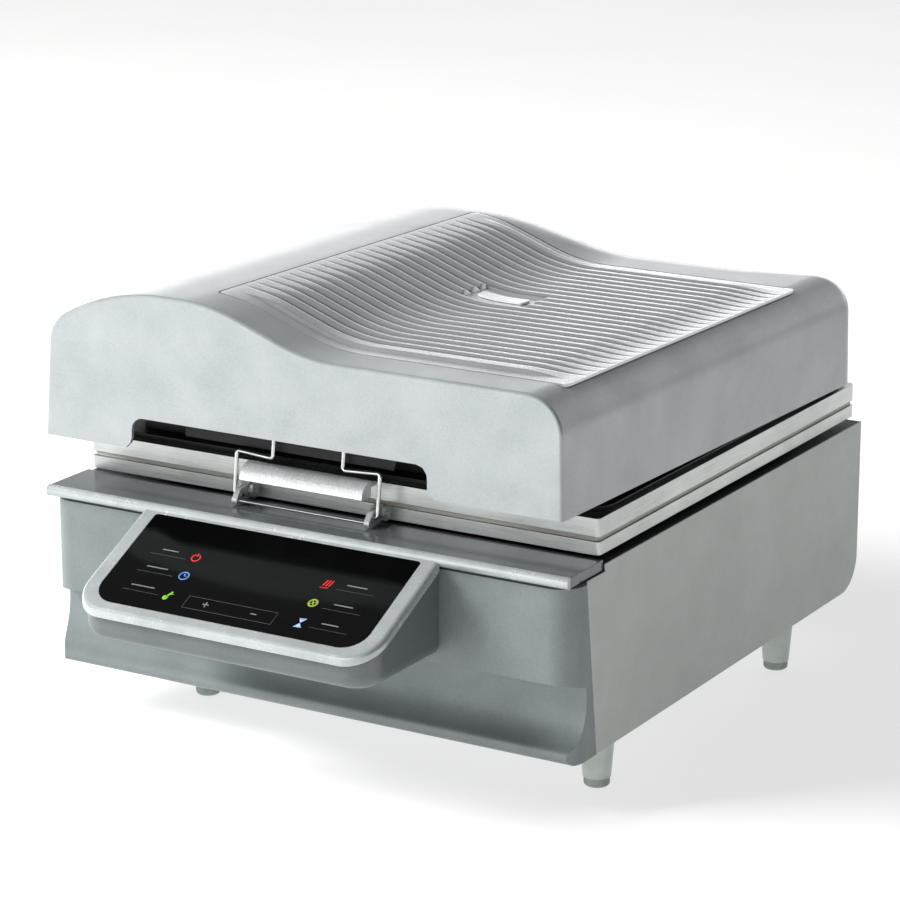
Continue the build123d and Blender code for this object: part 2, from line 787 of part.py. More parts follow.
def lid_body(inset, below=0.0):
    """The lid's outer form, or its inner form when inset, with rounded front and rear edges."""
    front, rear = lid_front_y + inset, lid_rear_y - inset
    body = along_y(lid_face(inset, below), front, rear)
    upper = body.edges().filter_by(lambda e: e.bounding_box().max.Z > lid_rim_z + 30)
    rear_edges = upper.filter_by(lambda e: e.bounding_box().min.Y > rear - 0.01)
    body = fillet(rear_edges, lid_rear_round - inset)
    if not inset:
        upper = body.edges().filter_by(lambda e: e.bounding_box().max.Z > lid_rim_z + 30)
        front_edges = upper.filter_by(lambda e: e.bounding_box().max.Y < front + 0.01)
        body = fillet(front_edges, lid_front_round)
    return body & along_x(lid_side(inset, below), -lid_half_width - 1, lid_half_width + 1)


def lid_notch():
    """Hand notch in the lid's front wall, with rounded upper corners and flared lower ones."""
    top = lid_rim_z + notch_height
    middle = (notch_left_x + notch_right_x) / 2
    width = notch_right_x - notch_left_x
    face = Pos(middle, (lid_rim_z - 20 + top) / 2) * Rectangle(width, top - lid_rim_z + 20)
    face = fillet(face.vertices().sort_by(Axis.Y)[-2:], notch_corner)
    flare = 6.0
    for side, x in ((-1, notch_left_x), (1, notch_right_x)):
        foot = outline((x, lid_rim_z + flare), (x + side * flare, lid_rim_z), (x, lid_rim_z - 1))
        face += foot
    return along_y(face, lid_front_y - 1, lid_front_y + lid_wall + 1)


def inset_zone(gap):
    """The ribbed panel's plan, standing through the lid's top."""
    width = inset_right_x - inset_left_x - 2 * gap
    length = inset_rear_y - inset_front_y - 2 * gap
    plan = rounded(width, length, inset_corner, (inset_left_x + inset_right_x) / 2,
                   (inset_front_y + inset_rear_y) / 2)
    return along_z(plan, flat_top_z - 40, hump_top_z + 20)


def lid_shell():
    """Lid casing: a hollow moulding with the notch and the seat of the ribbed panel."""
    shell = lid_body(0) - lid_body(lid_wall, 5)
    seat = inset_zone(0) - lid_core(inset_depth)
    shell = shell - lid_notch() - seat
    for x, z in lid_screw_places():
        shell -= rod_y_axis(leaf_screw_radius + hole_fit, lid_rear_y - lid_wall, lid_rear_y, x, z)
    return tip_lid(shell)


def rib(y):
    """One raised rib: a trapezoid carried along the slope that sinks into the panel at both ends."""
    steps = 18
    points = []
    for i in range(steps + 1):
        x = rib_left_x + (rib_right_x - rib_left_x) * i / steps
        near = min(x - rib_left_x, rib_right_x - x) / rib_fade
        t = min(max(near, 0), 1)
        rise = t * t * (3 - 2 * t)
        points.append((x, surface_z(x) - rib_height * 1.1 * (1 - rise)))
    path = Plane.XZ.offset(-y) * Spline(*points)
    low = 1.0
    section = outline((-rib_foot / 2, -low), (rib_foot / 2, -low),
                      (rib_crest / 2, rib_height), (-rib_crest / 2, rib_height))
    start = Plane(origin=path @ 0, x_dir=(0, 1, 0), z_dir=path % 0)
    return sweep(start * section, path=path)


def badge_zone(length, depth):
    """An upright column over the badge's place on the panel."""
    return along_z(rounded(length, depth, 3, badge_x, badge_y), flat_top_z - 40, hump_top_z + 20)


def lid_core(inset):
    """Everything that lies deeper than a distance under the lid's top."""
    return along_y(lid_face(inset), lid_front_y - 5, lid_rear_y + 5)


def top_panel():
    """Ribbed panel: a plate that follows the lid's slope, its ribs and a recess for a badge."""
    under = lid_core(inset_depth - seat_gap)
    panel = (inset_zone(inset_gap) & lid_core(0)) - under
    ribs = [rib(rib_first_y + i * rib_pitch) for i in range(rib_count)]
    panel = panel.fuse(*ribs) - under
    return tip_lid(panel - (badge_zone(badge_length, badge_depth) - lid_core(recess_depth)))


def badge_plaque():
    """Blank plaque that follows the floor of the panel's recess."""
    plaque = badge_zone(plaque_length, plaque_depth) & lid_core(recess_depth - seat_gap - plaque_thickness)
    return tip_lid(plaque - lid_core(recess_depth - seat_gap))


def heater_box():
    """Heating chamber: a sheet box open below, with a flange along its lower edge."""
    middle = (box_front_y + box_rear_y) / 2
    length = box_rear_y - box_front_y
    outer = rounded(2 * box_half_width, length, 8, 0, middle)
    inner = rounded(2 * (box_half_width - box_sheet), length - 2 * box_sheet, 6.5, 0, middle)
    box = along_z(outer, box_bottom_z, box_top_z)
    brim_front = box_front_y - box_flange_front
    brim = rounded(2 * box_flange_half_width, box_flange_rear_y - brim_front, box_flange_corner, 0,
                   (box_flange_rear_y + brim_front) / 2)
    box += along_z(brim, box_bottom_z, box_bottom_z + box_sheet)
    box -= along_z(inner, box_bottom_z, box_top_z - box_sheet)
    box -= rod_z_axis(fan_shaft_radius + 1, box_top_z - box_sheet, box_top_z, fan_x, fan_y)
    return box - rod_y_axis(3 + hole_fit, box_front_y, box_front_y + box_sheet,
                            sensor_x, box_top_z - sensor_drop)


def heater_insulation():
    """Insulating blanket over the chamber, cut out round the motor."""
    middle = (box_front_y + box_rear_y) / 2
    length = box_rear_y - box_front_y
    face = rounded(2 * box_half_width, length, 8, 0, middle)
    face -= Pos(fan_x, fan_y) * Circle(motor_radius + 3)
    return along_z(face, box_top_z + seat_gap, box_top_z + seat_gap + insulation_thickness)


def heater_elements():
    """Straight tubular heaters that run from front to rear."""
    z = box_top_z - heater_drop
    rods = []
    for i in range(heater_count):
        x = heater_first_x + i * heater_pitch
        rods.append(rod_y_axis(heater_radius, box_front_y + 6, box_rear_y - 6, x, z))
    return rods


def heater_holders():
    """Ceramic bars at both ends that carry the heaters from the box's top."""
    z = box_top_z - heater_drop
    x0 = heater_first_x - 14
    x1 = heater_first_x + (heater_count - 1) * heater_pitch + 14
    bars = []
    for y0 in (box_front_y + 12, box_rear_y - 20):
        bar = slab(x0, x1, y0, y0 + 8, z - 9, box_top_z - box_sheet)
        for i in range(heater_count):
            x = heater_first_x + i * heater_pitch
            bar -= rod_y_axis(heater_radius + hole_fit, y0, y0 + 8, x, z)
        bars.append(bar)
    return bars


def heater_gasket():
    """Silicone seal under the box's flange, over the upper frame's bars."""
    front = box_front_y - box_flange_front + gasket_margin
    rear = box_flange_rear_y - gasket_margin
    half = box_flange_half_width - gasket_margin
    middle = (front + rear) / 2
    outer = rounded(2 * half, rear - front, box_flange_corner - gasket_margin, 0, middle)
    inner = rounded(2 * (half - gasket_width), rear - front - 2 * gasket_width, 3, 0, middle)
    return along_z(outer - inner, upper_frame_top_z + seat_gap, box_bottom_z)


def fan_motor():
    """Circulation fan motor on the box's top, with its shaft."""
    motor = rod_z_axis(motor_radius, box_top_z, box_top_z + motor_height, fan_x, fan_y)
    motor = fillet(motor.edges().sort_by(Axis.Z)[-1], 3)
    boss = rod_z_axis(12, box_top_z + motor_height, box_top_z + motor_height + 4, fan_x, fan_y)
    shaft = rod_z_axis(fan_shaft_radius, hub_foot_z + hub_cap + pin_fit, box_top_z, fan_x, fan_y)
    return motor + boss + shaft


def fan_wheel():
    """Circulation fan wheel: a disc with upright blades and a hub that is closed below its shaft."""
    top = wheel_top_z
    low = top - wheel_height
    wheel = rod_z_axis(wheel_radius, top - 1.5, top, fan_x, fan_y)
    wheel += rod_z_axis(hub_radius, hub_foot_z, top, fan_x, fan_y)
    for i in range(wheel_blades):
        blade = Pos(0, 0, (low + top) / 2) * Pos(wheel_radius - 17, 0) * Rot(0, 0, 30) * Box(30, 2, top - low)
        wheel += Pos(fan_x, fan_y) * Rot(0, 0, i * 360 / wheel_blades) * blade
    return wheel - rod_z_axis(fan_shaft_radius + pin_fit, hub_foot_z + hub_cap, top + 1, fan_x, fan_y)


def temperature_sensor():
    """Probe through the box's front wall, with a hexagon head."""
    z = box_top_z - sensor_drop
    probe = rod_y_axis(3, box_front_y - 12, box_front_y + 40, sensor_x, z)
    head = along_y(Pos(sensor_x, z) * RegularPolygon(7, 6), box_front_y - 6, box_front_y)
    return probe + head


def keeper_bar():
    """Keeper for the bail: a folded bar on the box's front."""
    top = keeper_bottom_z + keeper_height
    front = slab(keeper_left_x, keeper_right_x, keeper_front_y, keeper_front_y + keeper_thickness,
                 keeper_bottom_z, top)
    shelf = slab(keeper_left_x, keeper_right_x, keeper_front_y, box_front_y, top - keeper_thickness, top)
    end = outline((keeper_right_x, keeper_bottom_z - 1), (keeper_right_x, top - 4),
                  (keeper_right_x - 8, keeper_bottom_z - 1))
    return front + shelf - along_y(end, keeper_front_y - 1, keeper_front_y + keeper_thickness + 1)


def side_inner_x(z, side):
    """Inner face of the lid's side wall at a height."""
    if side > 0:
        return wall_foot(corner_centre, right_corner - lid_wall, 1, right_draft, z)[0]
    return -wall_foot(shoulder_centre, shoulder_radius - lid_wall, -1, left_draft, z)[0]


def box_brackets():
    """Straps that hang the heating chamber from the lid's side walls."""
    straps = []
    z = 264.0
    for side in (-1, 1):
        for y in (-90.0, 220.0):
            reach = side_inner_x(z + 10, side) - seat_gap
            near, far = sorted((side * (box_half_width + 0.02), side * reach))
            strap = slab(near, far, y, y + 22, z, z + 2)
            ear = sorted((side * (box_half_width + 0.02), side * (box_half_width + 2)))
            strap += slab(ear[0], ear[1], y, y + 22, z - 14, z + 2)
            straps.append(strap)
    return straps


# ---- hinges -------------------------------------------------------------------------------------
def knuckle(x0, x1, web):
    """A knuckle round the hinge line, joined to a web outline in side view."""
    lug = along_x(Pos(hinge_y, hinge_z) * Circle(knuckle_radius) + web, x0, x1)
    return lug - rod_x(pin_radius + pin_fit, x0 - 1, x1 + 1, hinge_y, hinge_z)


def base_screw_places():
    """Screw places of the base leaves, on the rear panel."""
    places = []
    for x in hinge_places:
        for side in (-1, 1):
            places.append((x + side * knuckle_width, leaf_low_z + 10))
            places.append((x + side * knuckle_width, leaf_high_z - 10))
    return places


def lid_screw_places():
    """Screw places of the lid leaves, on the lid's rear wall."""
    places = []
    for x in hinge_places:
        for z in (lid_leaf_low_z + 7, lid_leaf_high_z - 6):
            places.append((x + knuckle_width / 2, z))
    return places


def screw(x, z, seat_y, length):
    """Pan-head screw driven forwards from a leaf's rear face."""
    shank = rod_y_axis(leaf_screw_radius, seat_y - length, seat_y, x, z)
    head = rod_y_axis(1.8 * leaf_screw_radius, seat_y, seat_y + 1.8, x, z)
    return shank + chamfer(head.edges().sort_by(Axis.Y)[-1], 0.7)


def base_hinge_leaves():
    """Hinge leaves on the rear panel, each a plate with two outer knuckles."""
    leaves = []
    back = base_rear_y
    web = outline((back, leaf_high_z - 20), (back + leaf_thickness, leaf_high_z - 20),
                  (back + leaf_thickness, leaf_high_z), (hinge_y + knuckle_radius, hinge_z),
                  (hinge_y - knuckle_radius, hinge_z), (back, leaf_high_z + 4))
    reach = 1.5 * knuckle_width + side_fit
    for x in hinge_places:
        leaf = slab(x - reach, x + reach, back, back + leaf_thickness, leaf_low_z, leaf_high_z)
        leaf += knuckle(x + knuckle_width + side_fit, x + reach, web)
        leaf += knuckle(x - reach, x - knuckle_width - side_fit, web)
        leaves.append(leaf)
    for x, z in base_screw_places():
        hole = rod_y_axis(leaf_screw_radius + hole_fit, back, back + leaf_thickness, x, z)
        leaves = [leaf - hole for leaf in leaves]
    return leaves


def hinge_pins():
    """Hinge pins with a head on their outer end."""
    pins = []
    reach = knuckle_width * 1.5 + side_fit
    for x in hinge_places:
        pin = rod_x(pin_radius, x - reach - 1, x + reach + 1, hinge_y, hinge_z)
        pin += rod_x(pin_radius + 1.5, x + reach + 0.4, x + reach + 2.4, hinge_y, hinge_z)
        pins.append(pin)
    return pins


def frame_hinge_leaves():
    """Leaves on the membrane frame's rear face."""
    back = frame_rear_y
    web = outline((back, upper_frame_z + 1), (hinge_y, hinge_z - knuckle_radius),
                  (hinge_y, hinge_z + 2), (back + 6, upper_frame_top_z - 2), (back, upper_frame_top_z - 2))
    return [knuckle(x - knuckle_width, x - side_fit / 2, web) for x in hinge_places]


def lid_hinge_leaves():
    """Leaves on the lid's rear wall, tipped with it."""
    back = lid_rear_y
    front = back + seat_gap
    rear = front + leaf_thickness
    web = outline((front, lid_leaf_low_z), (front, lid_leaf_high_z), (rear, lid_leaf_high_z),
                  (rear, lid_leaf_low_z + 2), (hinge_y + 5, hinge_z + 4), (hinge_y - 5, hinge_z + 4))
    leaves = []
    for x in hinge_places:
        leaf = knuckle(x + side_fit / 2, x + knuckle_width, web)
        for hole_x, z in lid_screw_places():
            leaf -= rod_y_axis(leaf_screw_radius + hole_fit, front, rear, hole_x, z)
        leaves.append(tip_lid(leaf))
    return leaves


def base_hinge_screws():
    """Screws of the base leaves."""
    return [screw(x, z, base_rear_y + leaf_thickness, 8) for x, z in base_screw_places()]


def lid_hinge_screws():
    """Screws of the lid leaves."""
    seat = lid_rear_y + seat_gap + leaf_thickness
    return [tip_lid(screw(x, z, seat, 8)) for x, z in lid_screw_places()]


# ---- inner works --------------------------------------------------------------------------------
def vacuum_fitting():
    """Elbow under the tray's outlet with a barb towards the pump."""
    top = tray_floor_z - tray_wall
    elbow = rod_z_axis(7, top - 13, top, 0, tray_centre_y)
    return elbow + rod_x(3, -15, 0, tray_centre_y, top - 8)


def vacuum_pump():
    """Diaphragm pump on two rubber feet: head with a port, and a motor behind it."""
    axis_z = pan_top_z + 4 + pump_head / 2
    head = slab(pump_x - pump_head / 2, pump_x + pump_head / 2, pump_y - pump_head / 2,
                pump_y + pump_head / 2, axis_z - pump_head / 2, axis_z + pump_head / 2)
    head = fillet(head.edges().filter_by(Axis.X), 5)
    motor_end = pump_x - pump_head / 2 - pump_motor_length
    motor = rod_x(pump_motor_radius, motor_end, pump_x, pump_y, axis_z)
    motor = chamfer(motor.edges().sort_by(Axis.X)[0], 2)
    port = rod_x(3, pump_x, pump_x + pump_head / 2 + 8, pump_y, axis_z + 12)
    pump = head + motor + port
    for x in (pump_x - 12, pump_x + 12):
        pump += rod_z_axis(5, pan_top_z, axis_z - pump_head / 2, x, pump_y)
    return pump


def pump_hose():
    """Short hose from the tray's barb to the pump's port."""
    barb_z = tray_floor_z - tray_wall - 8
    port_z = pan_top_z + 4 + pump_head / 2 + 12
    start_x, end_x = -15.0, pump_x + pump_head / 2 + 8
    points = [(start_x, barb_z), (start_x - 14, barb_z), (end_x + 14, port_z), (end_x, port_z)]
    path = Plane.XZ.offset(-tray_centre_y) * FilletPolyline(*points, radius=10)
    start = Plane(origin=path @ 0, z_dir=path % 0)
    return sweep(start * Circle(4.5), path=path)


def power_board():
    """Power board on standoffs: transformer, finned heat sink and two capacitors."""
    x0, x1, y0, y1 = 60.0, 190.0, 10.0, 120.0
    z = pan_top_z + 8
    board = slab(x0, x1, y0, y1, z, z + board_thickness)
    for x in (x0 + 6, x1 - 6):
        for y in (y0 + 6, y1 - 6):
            board += rod_z_axis(3, pan_top_z, z, x, y)
    top = z + board_thickness
    board += slab(x0 + 14, x0 + 54, y0 + 16, y0 + 50, top, top + 30)
    board += slab(x0 + 70, x0 + 120, y0 + 20, y0 + 48, top, top + 4)
    for i in range(5):
        fin_y = y0 + 20 + i * 6.4
        board += slab(x0 + 70, x0 + 120, fin_y, fin_y + 2.4, top, top + 24)
    for i in range(2):
        board += rod_z_axis(8, top, top + 24, x0 + 30 + i * 24, y0 + 80)
    return board


def cooling_fan_housing():
    """Square fan housing behind the vent slots, with a hub pin on four spokes."""
    y1 = rear_inner_y
    y0 = y1 - fan_depth
    face = RectangleRounded(fan_size, fan_size, 4) - Circle(rotor_radius + 1.5)
    body = along_y(Pos(rear_fan_x, rear_fan_z) * face, y0, y1)
    span = 2 * rotor_radius + 4
    spokes = Circle(rotor_hub_radius) + Rectangle(span, 3) + Rectangle(3, span)
    body += along_y(Pos(rear_fan_x, rear_fan_z) * spokes, y0, y0 + 2.5)
    return body + rod_y_axis(2, y0, y0 + 15, rear_fan_x, rear_fan_z)


def cooling_fan_rotor():
    """Fan rotor with twisted blades that runs on the housing's pin."""
    y0 = rear_inner_y - fan_depth + 3.0
    depth = fan_depth - 5.0
    rotor = Cylinder(rotor_hub_radius, depth)
    blade_length = rotor_radius - rotor_hub_radius + 1
    for i in range(rotor_blades):
        blade = Pos(rotor_hub_radius - 1 + blade_length / 2, 0) * Rot(35, 0, 0) * Box(blade_length, 1.4, 13)
        rotor += Rot(0, 0, i * 360 / rotor_blades) * blade
    rotor &= Cylinder(rotor_radius, depth)
    rotor -= Cylinder(2 + pin_fit, depth + 2)
    return Pos(rear_fan_x, y0 + depth / 2, rear_fan_z) * Rot(90, 0, 0) * rotor


def power_inlet():
    """Appliance inlet with a recess and three flat contacts."""
    half, rise = inlet_width / 2, inlet_height / 2
    z = rear_socket_z
    body = slab(inlet_x - half, inlet_x + half, rear_inner_y - 20, base_rear_y, z - rise, z + rise)
    body += slab(inlet_x - half - 3, inlet_x + half + 3, base_rear_y, base_rear_y + 2.5,
                 z - rise - 3, z + rise + 3)
    body -= slab(inlet_x - 10, inlet_x + 10, rear_inner_y - 14, base_rear_y + 2.5, z - 7, z + 7)
    for x, dz in ((-6, -1.5), (6, -1.5), (0, 2.5)):
        body += slab(inlet_x + x - 1, inlet_x + x + 1, rear_inner_y - 15, base_rear_y - 3,
                     z + dz - 2, z + dz + 2)
    return body


def switch_frame():
    """Housing of the rocker switch."""
    half, rise = switch_width / 2, switch_height / 2
    z = rear_socket_z
    body = slab(switch_x - half, switch_x + half, rear_inner_y - 16, base_rear_y, z - rise, z + rise)
    body += slab(switch_x - half - 2, switch_x + half + 2, base_rear_y, base_rear_y + 2,
                 z - rise - 2, z + rise + 2)
    cavity = rocker_width / 2 + 0.3
    body -= slab(switch_x - cavity, switch_x + cavity, rear_inner_y - 14, base_rear_y + 2,
                 z - rocker_radius - 0.5, z + rocker_radius + 0.5)
    reach = half - 0.1
    return body - rod_x(1.5 + pin_fit, switch_x - reach, switch_x + reach, base_rear_y - 3, z)


def power_switch():
    """Rocker with a hollow face, tipped to its off side."""
    y, z = base_rear_y - 3, rear_socket_z
    face = Circle(rocker_radius) & outline((-6, -10), (-6, 10), (7.6, 10), (5.2, 0), (7.6, -10))
    half = rocker_width / 2
    rocker = along_x(Pos(y, z) * face, switch_x - half, switch_x + half)
    rocker += rod_x(1.5, switch_x - half - 0.9, switch_x + half + 0.9, y, z)
    return rocker.rotate(Axis((switch_x, y, z), (1, 0, 0)), -rocker_tip)


# ---- all sub-parts ------------------------------------------------------------------------------
def build():
    """Builds every sub-part."""
    keep("bottom_pan", bottom_pan())
    keep("left_side_panel", side_panel(-1))
    keep("right_side_panel", side_panel(1))
    keep("rear_panel", rear_panel())
    keep("front_moulding", front_moulding())
    keep("shelf_top", shelf_top())
    keep("top_deck", top_deck())
    keep("foot_posts", *foot_posts())
    keep("foot_pads", *foot_pads())
    keep("console_tub", console_tub())
    keep("console_bezel", console_bezel())
    keep("control_panel", control_panel())
    keep("control_board", control_board())
    keep("vacuum_tray", vacuum_tray())
    keep("perforated_plate", perforated_plate())
    keep("tray_gasket", tray_gasket())
    keep("vacuum_fitting", vacuum_fitting())
    keep("pump_hose", pump_hose())
    keep("vacuum_pump", vacuum_pump())
    keep("power_board", power_board())
    keep("cooling_fan_housing", cooling_fan_housing())
    keep("cooling_fan_rotor", cooling_fan_rotor())
    keep("power_inlet", power_inlet())
    keep("switch_frame", switch_frame())
    keep("power_switch", power_switch())
    keep("base_hinge_leaves", *base_hinge_leaves())
    keep("hinge_pins", *hinge_pins())
    keep("base_hinge_screws", *base_hinge_screws())
    keep("lower_frame", lower_frame())
    keep("silicone_membrane", silicone_membrane())
    keep("upper_frame", upper_frame())
    keep("frame_grip", frame_grip())
    keep("latch_brackets", *latch_brackets())
    keep("lever_pins", *lever_pins())
    keep("frame_hinge_leaves", *frame_hinge_leaves())
    keep("lever_arms", lever_arm(-1), lever_arm(1))
    keep("lever_rod", lever_rod())
    keep("latch_bail", latch_bail())
    keep("lid_shell", lid_shell())
    keep("top_panel", top_panel())
    keep("badge_plaque", badge_plaque())
    keep("heater_box", heater_box())
    keep("heater_insulation", heater_insulation())
    keep("heater_elements", *heater_elements())
    keep("heater_holders", *heater_holders())
    keep("heater_gasket", heater_gasket())
    keep("fan_motor", fan_motor())
    keep("fan_wheel", fan_wheel())
    keep("temperature_sensor", temperature_sensor())
    keep("keeper_bar", keeper_bar())
    keep("box_brackets", *box_brackets())
    keep("lid_hinge_leaves", *lid_hinge_leaves())
    keep("lid_hinge_screws", *lid_hinge_screws())


build()
os.makedirs("parts", exist_ok=True)
for name, shape in parts.items():
    export_step(shape, f"parts/{name}.step")
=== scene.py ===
"""Looks of a 3D vacuum sublimation machine: its lid, latch, control console and oven parts."""

import json
import math

import bmesh
import bpy
import numpy as np
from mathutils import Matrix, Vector

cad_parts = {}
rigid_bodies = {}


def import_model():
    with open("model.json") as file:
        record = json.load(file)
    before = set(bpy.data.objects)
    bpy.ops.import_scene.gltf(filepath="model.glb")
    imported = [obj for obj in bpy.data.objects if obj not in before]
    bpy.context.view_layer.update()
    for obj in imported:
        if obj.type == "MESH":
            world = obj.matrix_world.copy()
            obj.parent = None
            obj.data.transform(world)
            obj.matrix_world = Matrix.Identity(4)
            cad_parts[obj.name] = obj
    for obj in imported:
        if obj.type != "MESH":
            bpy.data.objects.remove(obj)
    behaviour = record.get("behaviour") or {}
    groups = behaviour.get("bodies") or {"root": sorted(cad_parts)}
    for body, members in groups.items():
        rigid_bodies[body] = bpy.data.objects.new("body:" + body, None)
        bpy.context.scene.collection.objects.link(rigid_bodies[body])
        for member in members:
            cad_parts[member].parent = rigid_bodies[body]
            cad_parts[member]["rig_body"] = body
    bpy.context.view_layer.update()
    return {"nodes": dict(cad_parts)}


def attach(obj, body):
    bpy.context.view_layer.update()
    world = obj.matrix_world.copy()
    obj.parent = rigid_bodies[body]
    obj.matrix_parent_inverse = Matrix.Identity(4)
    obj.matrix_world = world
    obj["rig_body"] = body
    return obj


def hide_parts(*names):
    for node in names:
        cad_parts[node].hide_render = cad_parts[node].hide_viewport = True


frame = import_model()

MM = 0.001

# ---- sizes, in millimetres ------------------------------------------------------------------
hinge_y, hinge_z = 318.0, 228.0
lid_tip = math.radians(1.13)
lid_front_y, lid_rear_y = -229.5, 305.0
lid_rim_z = 230.6
lid_wall = 3.0
hump_z, flat_z = 358.5, 325.2
shoulder_centre, shoulder_radius = (-207.1, 308.5), 28.0
arch_centre, arch_radius = (-125.1, 166.7), 191.8
slope_start_x, slope_end_x = -107.0, 40.0
slope_turn = math.radians(20.1)
slope_run = slope_end_x - slope_start_x
slope_radius = (slope_run * math.sin(slope_turn) - (hump_z - flat_z) * math.cos(slope_turn)) / (
    2 * (1 - math.cos(slope_turn)))
corner_centre, corner_radius = (206.0, 293.2), 32.0
left_draft, right_draft = math.radians(3.6), math.radians(1.8)
front_round = 3.0
rear_foot_z = 298.0                 # the crown comes down to this height at the rear wall
rear_corner = 26.0
notch_x = (-154.0, 122.0)
notch_height, notch_corner, notch_flare = 26.0, 10.0, 6.0
inset_x, inset_y = (-98.0, 221.0), (-192.0, 215.0)
inset_corner, inset_depth, inset_gap = 8.0, 2.4, 1.2
side_gap = 0.9                      # between the panel and its seat, at the front and the rear
rib_count, rib_pitch, rib_first_y = 25, 14.8, -163.5
rib_height = 2.4
rib_x = (-84.0, 211.0)
rib_fade = 40.0                     # over this length the ribs die away towards both ends
badge_x, badge_y = 33.0, 41.0
recess_length, recess_depth, recess_edge = 56.0, 40.0, 2.5
recess_sink = 0.9                   # how far the recess round the badge lies below the panel
fall_at_hump, fall_at_flat, fall_at_corner = 100.0, 58.0, 28.0
border_round = 0.9
seat_clearance = 0.25               # under the panel


# ---- mesh helpers ---------------------------------------------------------------------------
def put_mesh(name, points, faces, smooth_angle=30.0):
    """Makes an object from points in millimetres and faces, smooth up to an angle in degrees."""
    mesh = bpy.data.meshes.new(name)
    mesh.from_pydata((np.asarray(points, float) * MM).tolist(), [], [tuple(f) for f in faces])
    mesh.validate()
    piece = bpy.data.objects.new(name, mesh)
    bpy.context.scene.collection.objects.link(piece)
    mesh.shade_smooth()
    mesh.set_sharp_from_angle(angle=math.radians(smooth_angle))
    return piece


def grid_faces(rows, columns, start=0, flip=False):
    """Four-sided faces of a grid of points laid out row by row."""
    index = start + np.arange(rows * columns).reshape(rows, columns)
    corners = (index[:-1, :-1], index[:-1, 1:], index[1:, 1:], index[1:, :-1])
    faces = np.stack([c.ravel() for c in corners], axis=1)
    return faces[:, ::-1] if flip else faces


def tipped(points):
    """Points turned about the hinge line, so that the front of the lid's casing stands higher."""
    x, y, z = np.asarray(points, float).T
    dy, dz = y - hinge_y, z - hinge_z
    c, s = math.cos(-lid_tip), math.sin(-lid_tip)
    return np.stack([x, hinge_y + dy * c - dz * s, hinge_z + dy * s + dz * c], axis=1)


def arc(centre, radius, start, end, count):
    """Points of a circular arc from one angle to another, with outward normals."""
    angle = np.linspace(start, end, count)
    normal = np.stack([np.cos(angle), np.sin(angle)], axis=1)
    return np.array(centre) + radius * normal, normal


def run(start, end, count):
    """Points of a straight run, with the normal on its left hand side going from start to end."""
    t = np.linspace(0, 1, count)[:, None]
    start, end = np.array(start, float), np.array(end, float)
    along = (end - start) / np.linalg.norm(end - start)
    normal = np.tile([-along[1], along[0]], (count, 1))
    return start + (end - start) * t, normal


def joined(*pieces):
    """Several point and normal runs as one, without the repeated joints."""
    points = [pieces[0][0]] + [p[0][1:] for p in pieces[1:]]
    normals = [pieces[0][1]] + [p[1][1:] for p in pieces[1:]]
    return np.concatenate(points), np.concatenate(normals)


# ---- the lid's form -------------------------------------------------------------------------
def wall_foot(centre, radius, side, draft):
    """Foot of a drafted wall that is tangent to the circle above it."""
    x = centre[0] + side * radius * math.cos(draft)
    z = centre[1] + radius * math.sin(draft)
    return x + side * (z - lid_rim_z) * math.tan(draft), lid_rim_z


def lid_outline():
    """Front view from the left foot to the right one: drafted wall, shoulder arc, arch arc, crest arc,
    straight slope, trough arc, flat, corner arc and drafted wall, each tangent to the next."""
    turn = math.atan2(shoulder_centre[1] - arch_centre[1], arch_centre[0] - shoulder_centre[0])
    crest = (slope_start_x, hump_z - slope_radius)
    trough = (slope_end_x, flat_z + slope_radius)
    left = wall_foot(shoulder_centre, shoulder_radius, -1, left_draft)
    right = wall_foot(corner_centre, corner_radius, 1, right_draft)
    half = math.pi / 2
    shoulder = arc(shoulder_centre, shoulder_radius, math.pi - left_draft, math.pi - turn, 14)
    arch = arc(arch_centre, arch_radius, math.pi - turn, half, 16)
    brow = arc(crest, slope_radius, half, half - slope_turn, 14)
    bowl, bowl_normal = arc(trough, slope_radius, 3 * half - slope_turn, 3 * half, 14)
    bowl = (bowl, -bowl_normal)
    corner = arc(corner_centre, corner_radius, half, right_draft, 18)
    return joined(run(left, shoulder[0][0], 14), shoulder, arch, run(arch[0][-1], brow[0][0], 3), brow,
                  run(brow[0][-1], bowl[0][0], 4), bowl, run(bowl[0][-1], corner[0][0], 22), corner,
                  run(corner[0][-1], right, 12))


def crown_height(x):
    """Height of the lid's top at x: hump, crest arc, straight slope, trough arc and flat."""
    x = np.asarray(x, float)
    reach = slope_radius * math.sin(slope_turn)
    past, left = x - slope_start_x, slope_end_x - x
    brow = hump_z - slope_radius + np.sqrt(np.clip(slope_radius ** 2 - past ** 2, 0, None))
    bowl = flat_z + slope_radius - np.sqrt(np.clip(slope_radius ** 2 - left ** 2, 0, None))
    straight = hump_z - slope_radius * (1 - math.cos(slope_turn)) - (past - reach) * math.tan(slope_turn)
    z = np.where(past < reach, brow, np.where(left < reach, bowl, straight))
    return np.where(past <= 0, hump_z, np.where(left <= 0, flat_z, z))


def fall_length(x):
    """Length of the rear fall at x: long behind the hump, shorter behind the flat, short at the corner."""
    share = (crown_height(np.clip(x, slope_start_x, slope_end_x)) - flat_z) / (hump_z - flat_z)
    edge = np.clip((x - 140) / 90, 0, 1)
    return (fall_at_flat + (fall_at_hump - fall_at_flat) * share) * (1 - edge) + fall_at_corner * edge


def top_height(x, y):
    """Height of the lid's top at a place: the crown, scaled down to the rear foot along a quarter ellipse."""
    length = fall_length(x)
    share = np.clip((y - (lid_rear_y - length)) / length, 0, 1)
    return rear_foot_z + (crown_height(x) - rear_foot_z) * np.sqrt(1 - share ** 2)


